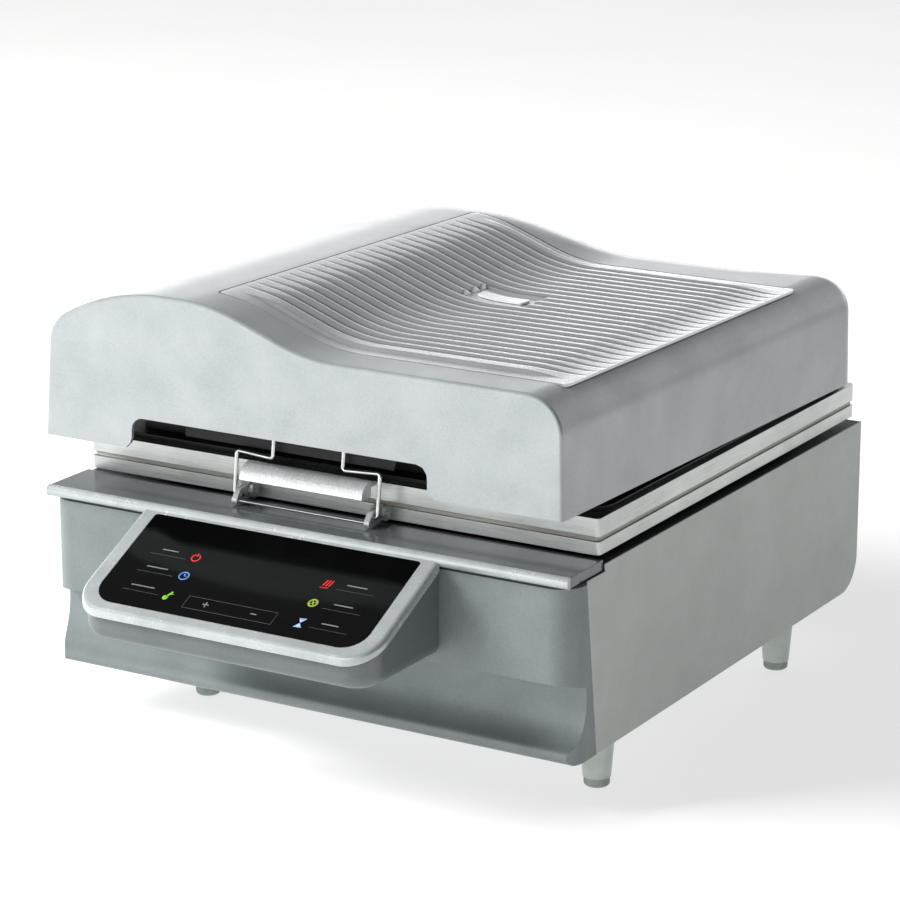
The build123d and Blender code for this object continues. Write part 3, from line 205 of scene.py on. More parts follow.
def front_foot():
    """Lower edge of the front wall, from left to right: rim, flared side of the notch, its round corner,
    its straight top, and the same again to the right foot."""
    left, right = notch_x
    top = lid_rim_z + notch_height
    turn = math.pi / 2
    a = arc((left + notch_corner, top - notch_corner), notch_corner, 2 * turn, turn, 9)[0]
    b = arc((right - notch_corner, top - notch_corner), notch_corner, turn, 0, 9)[0]
    foot_left = wall_foot(shoulder_centre, shoulder_radius, -1, left_draft)[0] + front_round
    foot_right = wall_foot(corner_centre, corner_radius, 1, right_draft)[0] - front_round
    start = [(foot_left, lid_rim_z), (left - notch_flare, lid_rim_z), (left, lid_rim_z + notch_flare)]
    end = [(right, lid_rim_z + notch_flare), (right + notch_flare, lid_rim_z), (foot_right, lid_rim_z)]
    return np.concatenate([start, a, b, end])


def lid_casing():
    """The lid as one open sheet. Each column starts at the front wall's lower edge, climbs to the outline,
    turns round the front edge in a quarter circle, runs back, falls in a quarter ellipse behind the crown
    and goes down the rear wall. Side walls turn in by a quarter circle in plan at the rear."""
    outline, normal = lid_outline()
    count = len(outline)
    length = np.concatenate([[0], np.cumsum(np.linalg.norm(np.diff(outline, axis=0), axis=1))])
    foot = matched_foot(length)
    rows = []
    inner = outline - normal * front_round
    inner[[0, -1], 1] = lid_rim_z
    for t in np.linspace(0, 1, 7)[:-1]:
        p = foot + (inner - foot) * t
        rows.append(np.column_stack([p[:, 0], np.full(count, lid_front_y), p[:, 1]]))
    for a in np.linspace(0, math.pi / 2, 6)[:-1]:
        p = outline - normal * front_round * (1 - math.sin(a))
        p[[0, -1], 1] = lid_rim_z
        rows.append(np.column_stack([p[:, 0], np.full(count, lid_front_y + front_round * (1 - math.cos(a))),
                                     p[:, 1]]))
    fall = fall_length(outline[:, 0])
    start, end = lid_front_y + front_round, lid_rear_y - fall
    for t in np.linspace(0, 1, 30)[:-1]:
        rows.append(rear_row(outline, normal, start + (end - start) * t, 0.0))
    for a in np.linspace(0, math.pi / 2, 20):
        rows.append(rear_row(outline, normal, lid_rear_y - fall * (1 - math.sin(a)), a))
    last = rows[-1]
    low = np.column_stack([last[:, 0], last[:, 1], np.full(count, lid_rim_z)])
    for t in np.linspace(0, 1, 5)[1:]:
        rows.append(last + (low - last) * t)
    points = tipped(np.concatenate(rows))
    return put_mesh("lid_casing", points, grid_faces(len(rows), count))


def matched_foot(length):
    """Points of the front wall's lower edge, one for each point of the outline, at the same share of the
    whole length."""
    path = front_foot()
    run_length = np.concatenate([[0], np.cumsum(np.linalg.norm(np.diff(path, axis=0), axis=1))])
    s = length / length[-1] * run_length[-1]
    return np.stack([np.interp(s, run_length, path[:, 0]), np.interp(s, run_length, path[:, 1])], axis=1)


def rear_row(outline, normal, y, a):
    """One row across the lid at depths y, fallen by the cosine of a above the rear foot."""
    z = outline[:, 1]
    fallen = np.where(z > rear_foot_z, rear_foot_z + (z - rear_foot_z) * math.cos(a), z)
    late = np.clip((y - (lid_rear_y - rear_corner)) / rear_corner, 0, 1)
    inward = rear_corner * (1 - np.sqrt(1 - late ** 2))
    return np.column_stack([outline[:, 0] - normal[:, 0] * inward, y, fallen])


def rounded_places(x_range, y_range, corner, inner_x, rows):
    """Places over a rectangle with round corners, as columns by rows: the columns crowd at both ends, and
    there a column shrinks at its ends by the corner's circle."""
    turn = np.linspace(0, math.pi / 2, 7)
    ends = corner * (1 - np.cos(turn))
    x = np.unique(np.round(np.concatenate([x_range[0] + ends, inner_x, x_range[1] - ends]), 3))
    deep = np.clip(corner - np.minimum(x - x_range[0], x_range[1] - x), 0, corner)
    shrink = corner - np.sqrt(corner ** 2 - deep ** 2)
    t = np.linspace(0, 1, rows)
    low, high = y_range[0] + shrink, y_range[1] - shrink
    y = low[:, None] + (high - low)[:, None] * t
    return np.repeat(x[:, None], rows, axis=1), y


def plate_between(name, x, y, low, high, smooth_angle=30.0):
    """A closed plate over a grid of places, from a lower height to an upper one, with a wall all round."""
    columns, rows = x.shape
    count = columns * rows
    top = np.column_stack([x.ravel(), y.ravel(), high.ravel()])
    bottom = np.column_stack([x.ravel(), y.ravel(), low.ravel()])
    index = np.arange(count).reshape(columns, rows)
    ring = np.concatenate([index[:-1, 0], index[-1, :-1], index[:0:-1, -1], index[0, :0:-1]])
    after = np.roll(ring, -1)
    walls = np.stack([ring, ring + count, after + count, after], axis=1)
    faces = np.concatenate([grid_faces(columns, rows, 0, flip=True), grid_faces(columns, rows, count), walls])
    return put_mesh(name, tipped(np.concatenate([top, bottom])), faces, smooth_angle)


def lid_lean(x):
    """One over the cosine of the top's slope at x. It turns a depth along the normal into an upright one."""
    step = 0.5
    slope = (crown_height(x + step) - crown_height(x - step)) / (2 * step)
    return np.sqrt(1 + slope ** 2)


def ease(t):
    """Smooth step from 0 to 1: three t squared less two t cubed, held outside."""
    t = np.clip(t, 0, 1)
    return t * t * (3 - 2 * t)


def badge_share(x, y):
    """1 inside a round-cornered rectangle about the badge and 0 outside, easing over a soft edge."""
    dx = np.abs(x - badge_x) - recess_length / 2
    dy = np.abs(y - badge_y) - recess_depth / 2
    outside = np.hypot(np.maximum(dx, 0), np.maximum(dy, 0)) + np.minimum(np.maximum(dx, dy), 0)
    return 1 - ease(outside / recess_edge)


def rib_relief(x, y):
    """Height of the ribs over the panel: broad crests parted by narrow grooves. A groove is an even power of
    a cosine across the pitch. Towards both ends the crests sink to the panel and the grooves grow narrow."""
    near = np.minimum(x - rib_x[0], rib_x[1] - x)
    rise = ease(near / rib_fade)
    first, last = rib_first_y - rib_pitch / 2, rib_first_y + (rib_count - 0.5) * rib_pitch
    field = ease((y - (first - 4.5)) / 3.2) * ease((last + 3.5 - y) / 3.2)
    phase = (y - first) / rib_pitch
    grooved = (phase > 0.5) & (phase < rib_count - 0.5)
    wave = np.abs(np.cos(math.pi * phase))
    power = 5 + 24 * (1 - rise) ** 2
    depth = rib_height * rise + 0.5 * ease((near + 12) / 14) * (1 - rise)
    groove = np.where(grooved, depth * wave ** power, 0)
    relief = field * (rib_height * rise) - groove * field
    sunk = badge_share(x, y)
    return relief * (1 - sunk) - recess_sink * sunk


def edge_fall(y):
    """How far the panel's front and rear borders are turned down: a quarter circle over the last bit."""
    inward = np.minimum(y - inset_y[0], inset_y[1] - y) - side_gap
    t = np.clip(1 - inward / border_round, 0, 1)
    return 0.8 * (1 - np.sqrt(1 - t ** 2))


def ribbed_panel():
    """The panel in the lid's top: it follows the crown, carries the ribs and is turned down at its edge."""
    xs = (inset_x[0] + inset_gap, inset_x[1] - inset_gap)
    ys = (inset_y[0] + side_gap, inset_y[1] - side_gap)
    even = np.linspace(xs[0] + inset_corner, xs[1] - inset_corner, 112)
    sides = np.concatenate([badge_x + side * (recess_length / 2 + np.linspace(0, recess_edge, 4))
                            for side in (-1, 1)])
    x, y = rounded_places(xs, ys, inset_corner - inset_gap, np.concatenate([even, sides]), 372)
    top = top_height(x, y)
    return plate_between("ribbed_panel", x, y, top - (inset_depth - seat_clearance) * lid_lean(x),
                         top + rib_relief(x, y) - edge_fall(y), 50)


def seat_cutter():
    """The hollow in the casing that takes the ribbed panel: a column whose foot follows the crown."""
    even = np.linspace(inset_x[0] + 10, inset_x[1] - 10, 60)
    x, y = rounded_places(inset_x, inset_y, inset_corner, even, 60)
    return plate_between("seat_cutter", x, y, top_height(x, y) - inset_depth * lid_lean(x),
                         np.full_like(x, hump_z + 20))


# ---- finishes -------------------------------------------------------------------------------
def tone(red, green, blue):
    """A colour given in display steps from 0 to 255, as linear light."""
    c = np.array([red, green, blue]) / 255
    c = np.where(c <= 0.04045, c / 12.92, ((c + 0.055) / 1.055) ** 2.4)
    return (*c.tolist(), 1.0)


def add(tree, kind, inputs=None, **settings):
    """Adds a shader node. An input that is given another node's output is linked to it."""
    node = tree.nodes.new("ShaderNode" + kind)
    for key, value in settings.items():
        setattr(node, key, value)
    for key, value in (inputs or {}).items():
        if isinstance(value, bpy.types.NodeSocket):
            tree.links.new(value, node.inputs[key])
        else:
            node.inputs[key].default_value = value
    return node


def noise(tree, place, size, detail=3.0, rough=0.55, twist=0.0):
    """Noise whose spots are about size millimetres across."""
    return add(tree, "TexNoise", {"Vector": place, "Scale": 1000 / size, "Detail": detail, "Roughness": rough,
                                  "Distortion": twist}).outputs["Fac"]


def ramp(tree, value, start, end, low, high):
    """A value carried from one range to another and held at its ends."""
    return add(tree, "MapRange", {"Value": value, "From Min": start, "From Max": end, "To Min": low,
                                  "To Max": high}, clamp=True).outputs["Result"]


def math_node(tree, operation, a, b, c=0.0):
    """One sum on up to three values."""
    return add(tree, "Math", {0: a, 1: b, 2: c}, operation=operation).outputs[0]


def blend_colour(tree, share, first, second):
    """A colour between two, by a share."""
    return add(tree, "Mix", {0: share, 6: first, 7: second}, data_type="RGBA").outputs[2]


def begin(name, fixed):
    """A new material with its shader's plain values set, and the place on the piece."""
    material = bpy.data.materials.new(name)
    material.use_nodes = True
    tree = material.node_tree
    shader = tree.nodes["Principled BSDF"]
    for socket, value in fixed.items():
        shader.inputs[socket].default_value = value
    place = add(tree, "TexCoord").outputs["Object"]
    return material, tree, shader, place


def surface(name, dark, light, rough, grain=0.8, mottle=45.0, relief=0.15, flakes=0.0, stretch=(1, 1, 1),
            soil=0.35, **fixed):
    """A finish whose colour runs from dark to light with a broad mottle and a fine grain. Gloss follows the
    grain, sparse handling marks dull it and darken it a little, and the grain stands out as relief. Flakes
    tilt the surface in cells of about a millimetre, as metal flakes in paint do."""
    named = {key.replace("_", " "): value for key, value in fixed.items()}
    material, tree, shader, place = begin(name, named)
    scaled = add(tree, "Mapping", {"Vector": place, "Scale": stretch}).outputs["Vector"]
    broad = noise(tree, place, mottle, 4.0)
    fine = noise(tree, scaled, grain, 3.0, 0.6)
    marks = ramp(tree, noise(tree, place, mottle * 1.7, 9.0, 0.68, 0.6), 0.54, 0.72, 0.0, 1.0)
    shade = math_node(tree, "MULTIPLY_ADD", fine, 0.5, math_node(tree, "MULTIPLY", broad, 0.5))
    if flakes:
        cells = add(tree, "TexVoronoi", {"Vector": place, "Scale": 1000 / 0.9}, feature="F1")
        spark = add(tree, "SeparateColor", {"Color": cells.outputs["Color"]}).outputs["Red"]
        lowered = math_node(tree, "SUBTRACT", shade, 0.06 * flakes)
        shade = math_node(tree, "MULTIPLY_ADD", spark, 0.12 * flakes, lowered)
    shade = ramp(tree, shade, 0.36, 0.64, 0.0, 1.0)
    worn = math_node(tree, "MULTIPLY_ADD", marks, -0.5 * soil, shade)
    tree.links.new(blend_colour(tree, worn, dark, light), shader.inputs["Base Color"])
    gloss = ramp(tree, fine, 0.3, 0.7, rough[0], rough[1])
    gloss = math_node(tree, "MULTIPLY_ADD", marks, 0.12 * soil, gloss)
    tree.links.new(gloss, shader.inputs["Roughness"])
    bump = add(tree, "Bump", {"Height": fine, "Strength": relief, "Distance": 0.0004})
    if flakes:
        tilt = add(tree, "VectorMath", {0: cells.outputs["Color"], 1: (0.5, 0.5, 0.5)}, operation="SUBTRACT")
        tilt = add(tree, "VectorMath", {0: tilt.outputs[0], "Scale": 0.05 * flakes}, operation="SCALE")
        leaned = add(tree, "VectorMath", {0: bump.outputs["Normal"], 1: tilt.outputs[0]}, operation="ADD")
        unit = add(tree, "VectorMath", {0: leaned.outputs[0]}, operation="NORMALIZE")
        tree.links.new(unit.outputs[0], shader.inputs["Normal"])
    else:
        tree.links.new(bump.outputs["Normal"], shader.inputs["Normal"])
    return material


def strip_metal(name, dark, light, rough):
    """Brushed strips of the frames. The grain runs along each bar, so it turns by a quarter at the mitres."""
    material, tree, shader, place = begin(name, {"Metallic": 1.0})
    axes = add(tree, "SeparateXYZ", {"Vector": place}).outputs
    side = math_node(tree, "ABSOLUTE", axes["X"], 0)
    end = math_node(tree, "ABSOLUTE", math_node(tree, "SUBTRACT", axes["Y"], 0.066), 0)
    share = math_node(tree, "GREATER_THAN", math_node(tree, "SUBTRACT", side, 0.239),
                      math_node(tree, "SUBTRACT", end, 0.2355))
    along_x = add(tree, "Mapping", {"Vector": place, "Scale": (0.012, 1, 1)}).outputs["Vector"]
    along_y = add(tree, "Mapping", {"Vector": place, "Scale": (1, 0.012, 1)}).outputs["Vector"]
    first, second = noise(tree, along_x, 0.7, 5.0, 0.7), noise(tree, along_y, 0.7, 5.0, 0.7)
    lines = add(tree, "Mix", {0: share, 2: first, 3: second}).outputs[0]
    broad = noise(tree, place, 60, 4.0)
    shade = math_node(tree, "MULTIPLY_ADD", lines, 0.6, math_node(tree, "MULTIPLY", broad, 0.4))
    shade = ramp(tree, shade, 0.36, 0.64, 0.0, 1.0)
    tree.links.new(blend_colour(tree, shade, dark, light), shader.inputs["Base Color"])
    tree.links.new(ramp(tree, lines, 0.3, 0.7, rough[0], rough[1]), shader.inputs["Roughness"])
    bump = add(tree, "Bump", {"Height": lines, "Strength": 0.25, "Distance": 0.0003})
    tree.links.new(bump.outputs["Normal"], shader.inputs["Normal"])
    return material


finishes = {
    "lid_paint": surface("lid_paint", tone(150, 156, 157), tone(168, 173, 174), (0.28, 0.36), flakes=1.0,
                         Metallic=0.45),
    "panel_paint": surface("panel_paint", tone(186, 191, 192), tone(202, 206, 207), (0.17, 0.22), flakes=0.25,
                           Metallic=0.7),
    "moulding_paint": surface("moulding_paint", tone(110, 118, 118), tone(124, 132, 132), (0.36, 0.46),
                              flakes=1.0, Metallic=0.35),
    "side_paint": surface("side_paint", tone(164, 170, 167), tone(176, 182, 179), (0.4, 0.5), flakes=1.0,
                          Metallic=0.3),
    "shelf_metal": surface("shelf_metal", tone(104, 110, 112), tone(124, 130, 132), (0.14, 0.22), grain=0.6,
                           relief=0.04, Metallic=0.7),
    "bezel_metal": surface("bezel_metal", tone(164, 170, 171), tone(180, 185, 186), (0.24, 0.28), grain=16,
                           relief=0.02, soil=0.2, Metallic=0.45),
    "tub_paint": surface("tub_paint", tone(97, 103, 103), tone(109, 115, 115), (0.36, 0.46), flakes=1.0,
                         Metallic=0.35),
    "black_glass": surface("black_glass", tone(2, 2, 2), tone(4, 4, 4), (0.05, 0.09), mottle=30, relief=0.02,
                           soil=0.3, Specular_IOR_Level=0.35),
    "strip_metal": strip_metal("strip_metal", tone(166, 169, 168), tone(208, 211, 209), (0.26, 0.42)),
    "clear_sheet": surface("clear_sheet", tone(205, 203, 192), tone(232, 231, 222), (0.28, 0.42), mottle=90,
                           relief=0.1, Transmission_Weight=0.55, IOR=1.41),
    # Black rubber of the real gaskets; the same near-black also paints shade in the panel's seat, under the
    # shelf and under the bezel.
    "rubber_and_shade_black": surface("rubber_and_shade_black", tone(12, 12, 12), tone(24, 23, 22), (0.6, 0.8), relief=0.3),
    "tray_metal": surface("tray_metal", tone(160, 163, 165), tone(200, 203, 204), (0.24, 0.4),
                          stretch=(0.03, 1, 1), Metallic=0.95),
    # Painted shade: near-black finish for the top deck and the keeper bar, so the gap under the lower frame
    # and the notch where they show read as shade.
    "deck_shade_black": surface("deck_shade_black", tone(12, 12, 13), tone(24, 24, 25), (0.45, 0.65), Metallic=0.2),
    "bright_wire": surface("bright_wire", tone(196, 198, 200), tone(230, 231, 232), (0.1, 0.2), mottle=12,
                           relief=0.05, Metallic=1.0),
    "zinc": surface("zinc", tone(176, 180, 180), tone(208, 211, 210), (0.24, 0.36), mottle=8, Metallic=0.55),
    "grip_silver": surface("grip_silver", tone(220, 223, 223), tone(236, 239, 239), (0.22, 0.3), mottle=25,
                           relief=0.04, Metallic=0.3),
    # Dark steel of the heater box; its near-black tone is also a painted shade for the wedge between the
    # lid's rim and the upper frame.
    "oven_steel": surface("oven_steel", tone(30, 30, 31), tone(56, 55, 54), (0.35, 0.55), mottle=70,
                          Metallic=0.8),
    "post_plastic": surface("post_plastic", tone(172, 180, 175), tone(192, 199, 194), (0.32, 0.44),
                            mottle=10, Metallic=0.2),
    "foot_rubber": surface("foot_rubber", tone(132, 138, 135), tone(158, 163, 160), (0.55, 0.75), mottle=6,
                           relief=0.3),
    "black_plastic": surface("black_plastic", tone(14, 14, 15), tone(28, 28, 29), (0.38, 0.55), relief=0.3),
    "red_plastic": surface("red_plastic", tone(120, 10, 8), tone(176, 20, 14), (0.22, 0.36), mottle=6,
                           relief=0.1),
    "heater_metal": surface("heater_metal", tone(58, 52, 48), tone(112, 98, 84), (0.42, 0.62), mottle=14,
                            relief=0.4, Metallic=0.8),
    "ceramic": surface("ceramic", tone(214, 208, 194), tone(236, 232, 222), (0.42, 0.62), mottle=9),
    "wool": surface("wool", tone(150, 136, 92), tone(206, 192, 142), (0.9, 1.0), grain=1.6, mottle=18,
                    relief=1.0),
    "fan_metal": surface("fan_metal", tone(160, 162, 163), tone(206, 208, 209), (0.24, 0.38),
                         stretch=(1, 1, 0.05), Metallic=0.95),
    "board_green": surface("board_green", tone(10, 48, 26), tone(24, 84, 46), (0.28, 0.42), mottle=7),
    "cast_metal": surface("cast_metal", tone(120, 122, 124), tone(168, 170, 171), (0.4, 0.58), mottle=9,
                          relief=0.5, Metallic=0.85),
    "hose_rubber": surface("hose_rubber", tone(16, 16, 17), tone(32, 32, 33), (0.5, 0.7), relief=0.3),
}


def away_from(tree, value, middle):
    """Distance of a value from a middle, either way."""
    return math_node(tree, "ABSOLUTE", math_node(tree, "SUBTRACT", value, middle), 0)


def painted_groove_shade(material):
    """Painted shade: the panel's colour darkened at the bottom of each groove, where shade falls between the
    ribs.
    The place across the ribs is the distance from the hinge line turned back by the lid's tip, and the share
    is the eighth power of the grooves' cosine. It fades towards both ends of the ribs and stops at the
    badge's recess."""
    tree = material.node_tree
    shader = tree.nodes["Principled BSDF"]
    axes = add(tree, "SeparateXYZ", {"Vector": add(tree, "TexCoord").outputs["Object"]}).outputs
    dy = math_node(tree, "SUBTRACT", axes["Y"], hinge_y * MM)
    dz = math_node(tree, "SUBTRACT", axes["Z"], hinge_z * MM)
    c, s = math.cos(-lid_tip), math.sin(-lid_tip)
    y = math_node(tree, "MULTIPLY_ADD", dy, c, math_node(tree, "MULTIPLY_ADD", dz, s, hinge_y * MM))
    first = (rib_first_y - rib_pitch / 2) * MM
    phase = math_node(tree, "DIVIDE", math_node(tree, "SUBTRACT", y, first), rib_pitch * MM)
    cosine = math_node(tree, "COSINE", math_node(tree, "MULTIPLY", phase, math.pi), 0)
    share = math_node(tree, "POWER", math_node(tree, "ABSOLUTE", cosine, 0), 8)
    middle, half = (rib_x[0] + rib_x[1]) / 2 * MM, (rib_x[1] - rib_x[0]) / 2 * MM
    across = away_from(tree, axes["X"], middle)
    share = math_node(tree, "MULTIPLY", share, ramp(tree, across, half - 0.03, half, 1.0, 0.0))
    inner = away_from(tree, phase, rib_count / 2)
    share = math_node(tree, "MULTIPLY", share, math_node(tree, "LESS_THAN", inner, rib_count / 2 - 0.5))
    at_badge = math_node(tree, "MULTIPLY",
                         ramp(tree, away_from(tree, axes["X"], badge_x * MM), 0.028, 0.0305, 1.0, 0.0),
                         ramp(tree, away_from(tree, y, badge_y * MM), 0.02, 0.0225, 1.0, 0.0))
    share = math_node(tree, "MULTIPLY", share, math_node(tree, "SUBTRACT", 1.0, at_badge))
    share = math_node(tree, "MULTIPLY", share, 0.7)
    unshaded_colour = shader.inputs["Base Color"].links[0].from_socket
    # painted shade: the groove bottoms are blended towards this dark grey
    tree.links.new(blend_colour(tree, share, unshaded_colour, tone(84, 88, 89)), shader.inputs["Base Color"])


# painted shade in the grooves of the ribbed panel
painted_groove_shade(finishes["panel_paint"])


def paint(node, finish):
    """Gives a CAD node that keeps its own mesh a finish."""
    for place in frame["nodes"][node].material_slots:
        place.material = finishes[finish]


def dress(node, finish, edge):
    """A rounded stand-in for a CAD node. A copy of its triangles is merged and its flat areas joined, then
    each edge that turns by more than 38 degrees gets a small round."""
    source = frame["nodes"][node]
    mesh = source.data.copy()
    work = bmesh.new()
    work.from_mesh(mesh)
    bmesh.ops.remove_doubles(work, verts=work.verts, dist=0.015 * MM)
    bmesh.ops.dissolve_limit(work, angle_limit=math.radians(0.3), verts=work.verts, edges=work.edges)
    work.to_mesh(mesh)
    work.free()
    for name in ("custom_normal", "sharp_face", "sharp_edge"):
        if name in mesh.attributes:
            mesh.attributes.remove(mesh.attributes[name])
    mesh.shade_smooth()
    mesh.materials.clear()
    mesh.materials.append(finishes[finish])
    piece = bpy.data.objects.new(node + "_rounded", mesh)
    bpy.context.scene.collection.objects.link(piece)
    bevel = piece.modifiers.new("edges", "BEVEL")
    bevel.width = edge * MM
    bevel.segments = 2
    bevel.limit_method = "ANGLE"
    bevel.angle_limit = math.radians(38)
    bevel.harden_normals = True
    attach(piece, source["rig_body"])
    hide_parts(node)


def even_shading(piece):
    """Lets the broad faces set the shading, so that a small round beside them stays crisp."""
    even = piece.modifiers.new("even", "WEIGHTED_NORMAL")
    even.keep_sharp = True
    even.weight = 80


def make_casing():
    """The lid casing: the open sheet gets its wall, and the panel's seat is cut. The seat's walls and floor
    take the cutter's near-black finish, which paints shade into the seam round the panel.
    """
    piece = lid_casing()
    piece.data.materials.append(finishes["lid_paint"])
    wall = piece.modifiers.new("wall", "SOLIDIFY")
    wall.thickness = lid_wall * MM
    wall.offset = -1
    wall.use_even_offset = True
    cutter = seat_cutter()
    # painted shade: this near-black finish passes to the seat's walls and floor, so the seam round the panel
    # reads dark
    cutter.data.materials.append(finishes["rubber_and_shade_black"])
    seat = piece.modifiers.new("seat", "BOOLEAN")
    seat.operation = "DIFFERENCE"
    seat.solver = "EXACT"
    seat.object = cutter
    seat.material_mode = "TRANSFER"
    graph = bpy.context.evaluated_depsgraph_get()
    done = bpy.data.meshes.new_from_object(piece.evaluated_get(graph))
    piece.modifiers.clear()
    piece.data = done
    bpy.data.objects.remove(cutter)
    done.shade_smooth()
    done.set_sharp_from_angle(angle=math.radians(32))
    even_shading(piece)
    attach(piece, "lid")
    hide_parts("lid_shell")


make_casing()

panel = ribbed_panel()
panel.data.materials.append(finishes["panel_paint"])
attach(panel, "lid")
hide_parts("top_panel")

rounded_nodes = {
    "front_moulding": ("moulding_paint", 0.8), "console_tub": ("tub_paint", 0.6),
    "console_bezel": ("bezel_metal", 0.5), "control_panel": ("black_glass", 0.3),
    "shelf_top": ("shelf_metal", 0.5), "left_side_panel": ("side_paint", 0.5),
    "right_side_panel": ("side_paint", 0.5), "rear_panel": ("side_paint", 0.5),
    "lower_frame": ("strip_metal", 0.4), "upper_frame": ("strip_metal", 0.4),
    "frame_grip": ("grip_silver", 0.5), "keeper_bar": ("deck_shade_black", 0.4),
    "badge_plaque": ("grip_silver", 0.5), "latch_brackets": ("zinc", 0.4), "lever_arms": ("zinc", 0.5),
    "base_hinge_leaves": ("zinc", 0.4), "frame_hinge_leaves": ("zinc", 0.4),
    "lid_hinge_leaves": ("zinc", 0.4),
    "power_inlet": ("black_plastic", 0.4), "switch_frame": ("black_plastic", 0.4),
    "power_switch": ("red_plastic", 0.4), "heater_box": ("oven_steel", 0.4),
    "vacuum_tray": ("tray_metal", 0.4),
}
kept_nodes = {
    "bottom_pan": "side_paint", "top_deck": "deck_shade_black", "foot_posts": "post_plastic",
    "foot_pads": "foot_rubber", "control_board": "board_green", "perforated_plate": "tray_metal",
    "tray_gasket": "rubber_and_shade_black", "vacuum_fitting": "cast_metal", "pump_hose": "hose_rubber",
    "vacuum_pump": "cast_metal", "power_board": "board_green", "cooling_fan_housing": "black_plastic",
    "hinge_pins": "bright_wire", "base_hinge_screws": "bright_wire", "silicone_membrane": "clear_sheet",
    "lever_pins": "bright_wire", "lever_rod": "bright_wire", "latch_bail": "bright_wire",
    "heater_insulation": "wool", "heater_elements": "heater_metal", "heater_holders": "ceramic",
    "heater_gasket": "rubber_and_shade_black", "fan_motor": "fan_metal", "temperature_sensor": "bright_wire",
    "box_brackets": "zinc", "lid_hinge_screws": "bright_wire", "fan_wheel": "fan_metal",
    "cooling_fan_rotor": "black_plastic",
}
for node_name, (finish_name, edge_size) in rounded_nodes.items():
    dress(node_name, finish_name, edge_size)
for node_name, finish_name in kept_nodes.items():
    paint(node_name, finish_name)


# ---- marks on the control panel -------------------------------------------------------------
console_origin = np.array([-7.0, -227.1, 192.0])
console_slope = math.radians(26)
ink_height, ink_foot = 0.12, -0.02


def on_console(points, height):
    """Places on the console's face: the first number runs to the right, the second up the slope."""
    u, v = np.asarray(points, float).T
    c, s = math.cos(console_slope), math.sin(console_slope)
    return console_origin + np.column_stack([u, v * c - height * s, v * s + height * c])


def flat_mark(outline):
    """Points and faces of a thin raised mark inside a closed outline."""
    n = len(outline)
    points = np.concatenate([on_console(outline, ink_height), on_console(outline, ink_foot)])
    ring = np.arange(n)
    after = np.roll(ring, -1)
    sides = np.stack([ring, ring + n, after + n, after], axis=1)
    return points, [tuple(ring)] + [tuple(s) for s in sides]


def ring_mark(u, v, radius, width, start, end):
    """A thin raised arc of a ring about a place, between two angles in degrees."""
    steps = 28
    a = np.radians(np.linspace(start, end, steps))
    outer = np.column_stack([u + radius * np.cos(a), v + radius * np.sin(a)])
    inner = np.column_stack([u + (radius - width) * np.cos(a), v + (radius - width) * np.sin(a)])
    return flat_mark(np.concatenate([outer, inner[::-1]]))


def bar_mark(u0, v0, u1, v1, width):
    """A thin raised bar between two places."""
    a, b = np.array([u0, v0], float), np.array([u1, v1], float)
    side = np.array([-(b - a)[1], (b - a)[0]]) / np.linalg.norm(b - a) * width / 2
    return flat_mark(np.array([a - side, b - side, b + side, a + side]))


def disc_mark(u, v, radius):
    """A thin raised disc."""
    a = np.linspace(0, 2 * math.pi, 20, endpoint=False)
    return flat_mark(np.column_stack([u + radius * np.cos(a), v + radius * np.sin(a)]))


def printed(name, colour, glow, marks):
    """Joins marks of one colour into a piece that rides on the base. Its ink is given a painted glow of its
    own colour, of the given strength, though the marks are no lamp.
    """
    points, faces, start = [], [], 0
    for mark_points, mark_faces in marks:
        points.append(mark_points)
        faces += [tuple((np.array(face) + start).tolist()) for face in mark_faces]
        start += len(mark_points)
    piece = put_mesh(name, np.concatenate(points), faces)
    # painted glow: the ink emits its own colour
    ink = surface(name + "_ink_glow", tuple(0.72 * c for c in colour[:3]) + (1.0,), colour, (0.3, 0.45),
                  grain=0.4, mottle=5, relief=0.05, Emission_Color=colour, Emission_Strength=glow)
    piece.data.materials.append(ink)
    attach(piece, "base")


printed("power_mark", tone(190, 50, 44), 0.25, [ring_mark(-61.2, -42.7, 4.2, 1.1, 115, 425),
                                               bar_mark(-61.2, -41.0, -61.2, -37.4, 1.0)])
printed("clock_mark", tone(84, 132, 196), 0.25, [ring_mark(-59.6, -63.8, 4.6, 1.0, 0, 359),
                                                bar_mark(-59.6, -64.0, -59.6, -60.8, 0.8),
                                                bar_mark(-59.8, -63.8, -57.2, -63.8, 0.8)])
printed("heat_level_mark", tone(104, 168, 54), 0.25, [disc_mark(-61.6, -89.6, 2.5),
                                                     bar_mark(-61.6, -89.6, -58.2, -82.6, 1.9),
                                                     bar_mark(-58.2, -85.6, -56.2, -85.0, 0.6)])
printed("heating_mark", tone(184, 46, 42), 0.25,
        [bar_mark(59.4 + 2.6 * i, -46.4, 60.8 + 2.6 * i, -39.6, 1.3) for i in range(3)]
        + [bar_mark(57.6, -48.6, 65.2, -48.0, 0.8)])
printed("fan_mark", tone(128, 150, 58), 0.25,
        [ring_mark(61.7, -66.0, 4.4, 1.5, 0, 359), disc_mark(61.7, -66.0, 1.0)]
        + [bar_mark(61.7 + 1.2 * math.cos(a), -66 + 1.2 * math.sin(a), 61.7 + 3.2 * math.cos(a),
                    -66 + 3.2 * math.sin(a), 0.7) for a in (0.5, 2.07, 3.64, 5.21)])
printed("timer_mark", tone(150, 172, 206), 0.25,
        [flat_mark(np.array([[60.2, -92.6], [65.6, -92.2], [62.9, -88.6]])),
         flat_mark(np.array([[62.9, -88.4], [65.8, -84.6], [60.6, -85.0]])),
         bar_mark(59.6, -93.2, 66.2, -92.8, 0.7), bar_mark(60.2, -84.2, 66.4, -83.8, 0.7)])
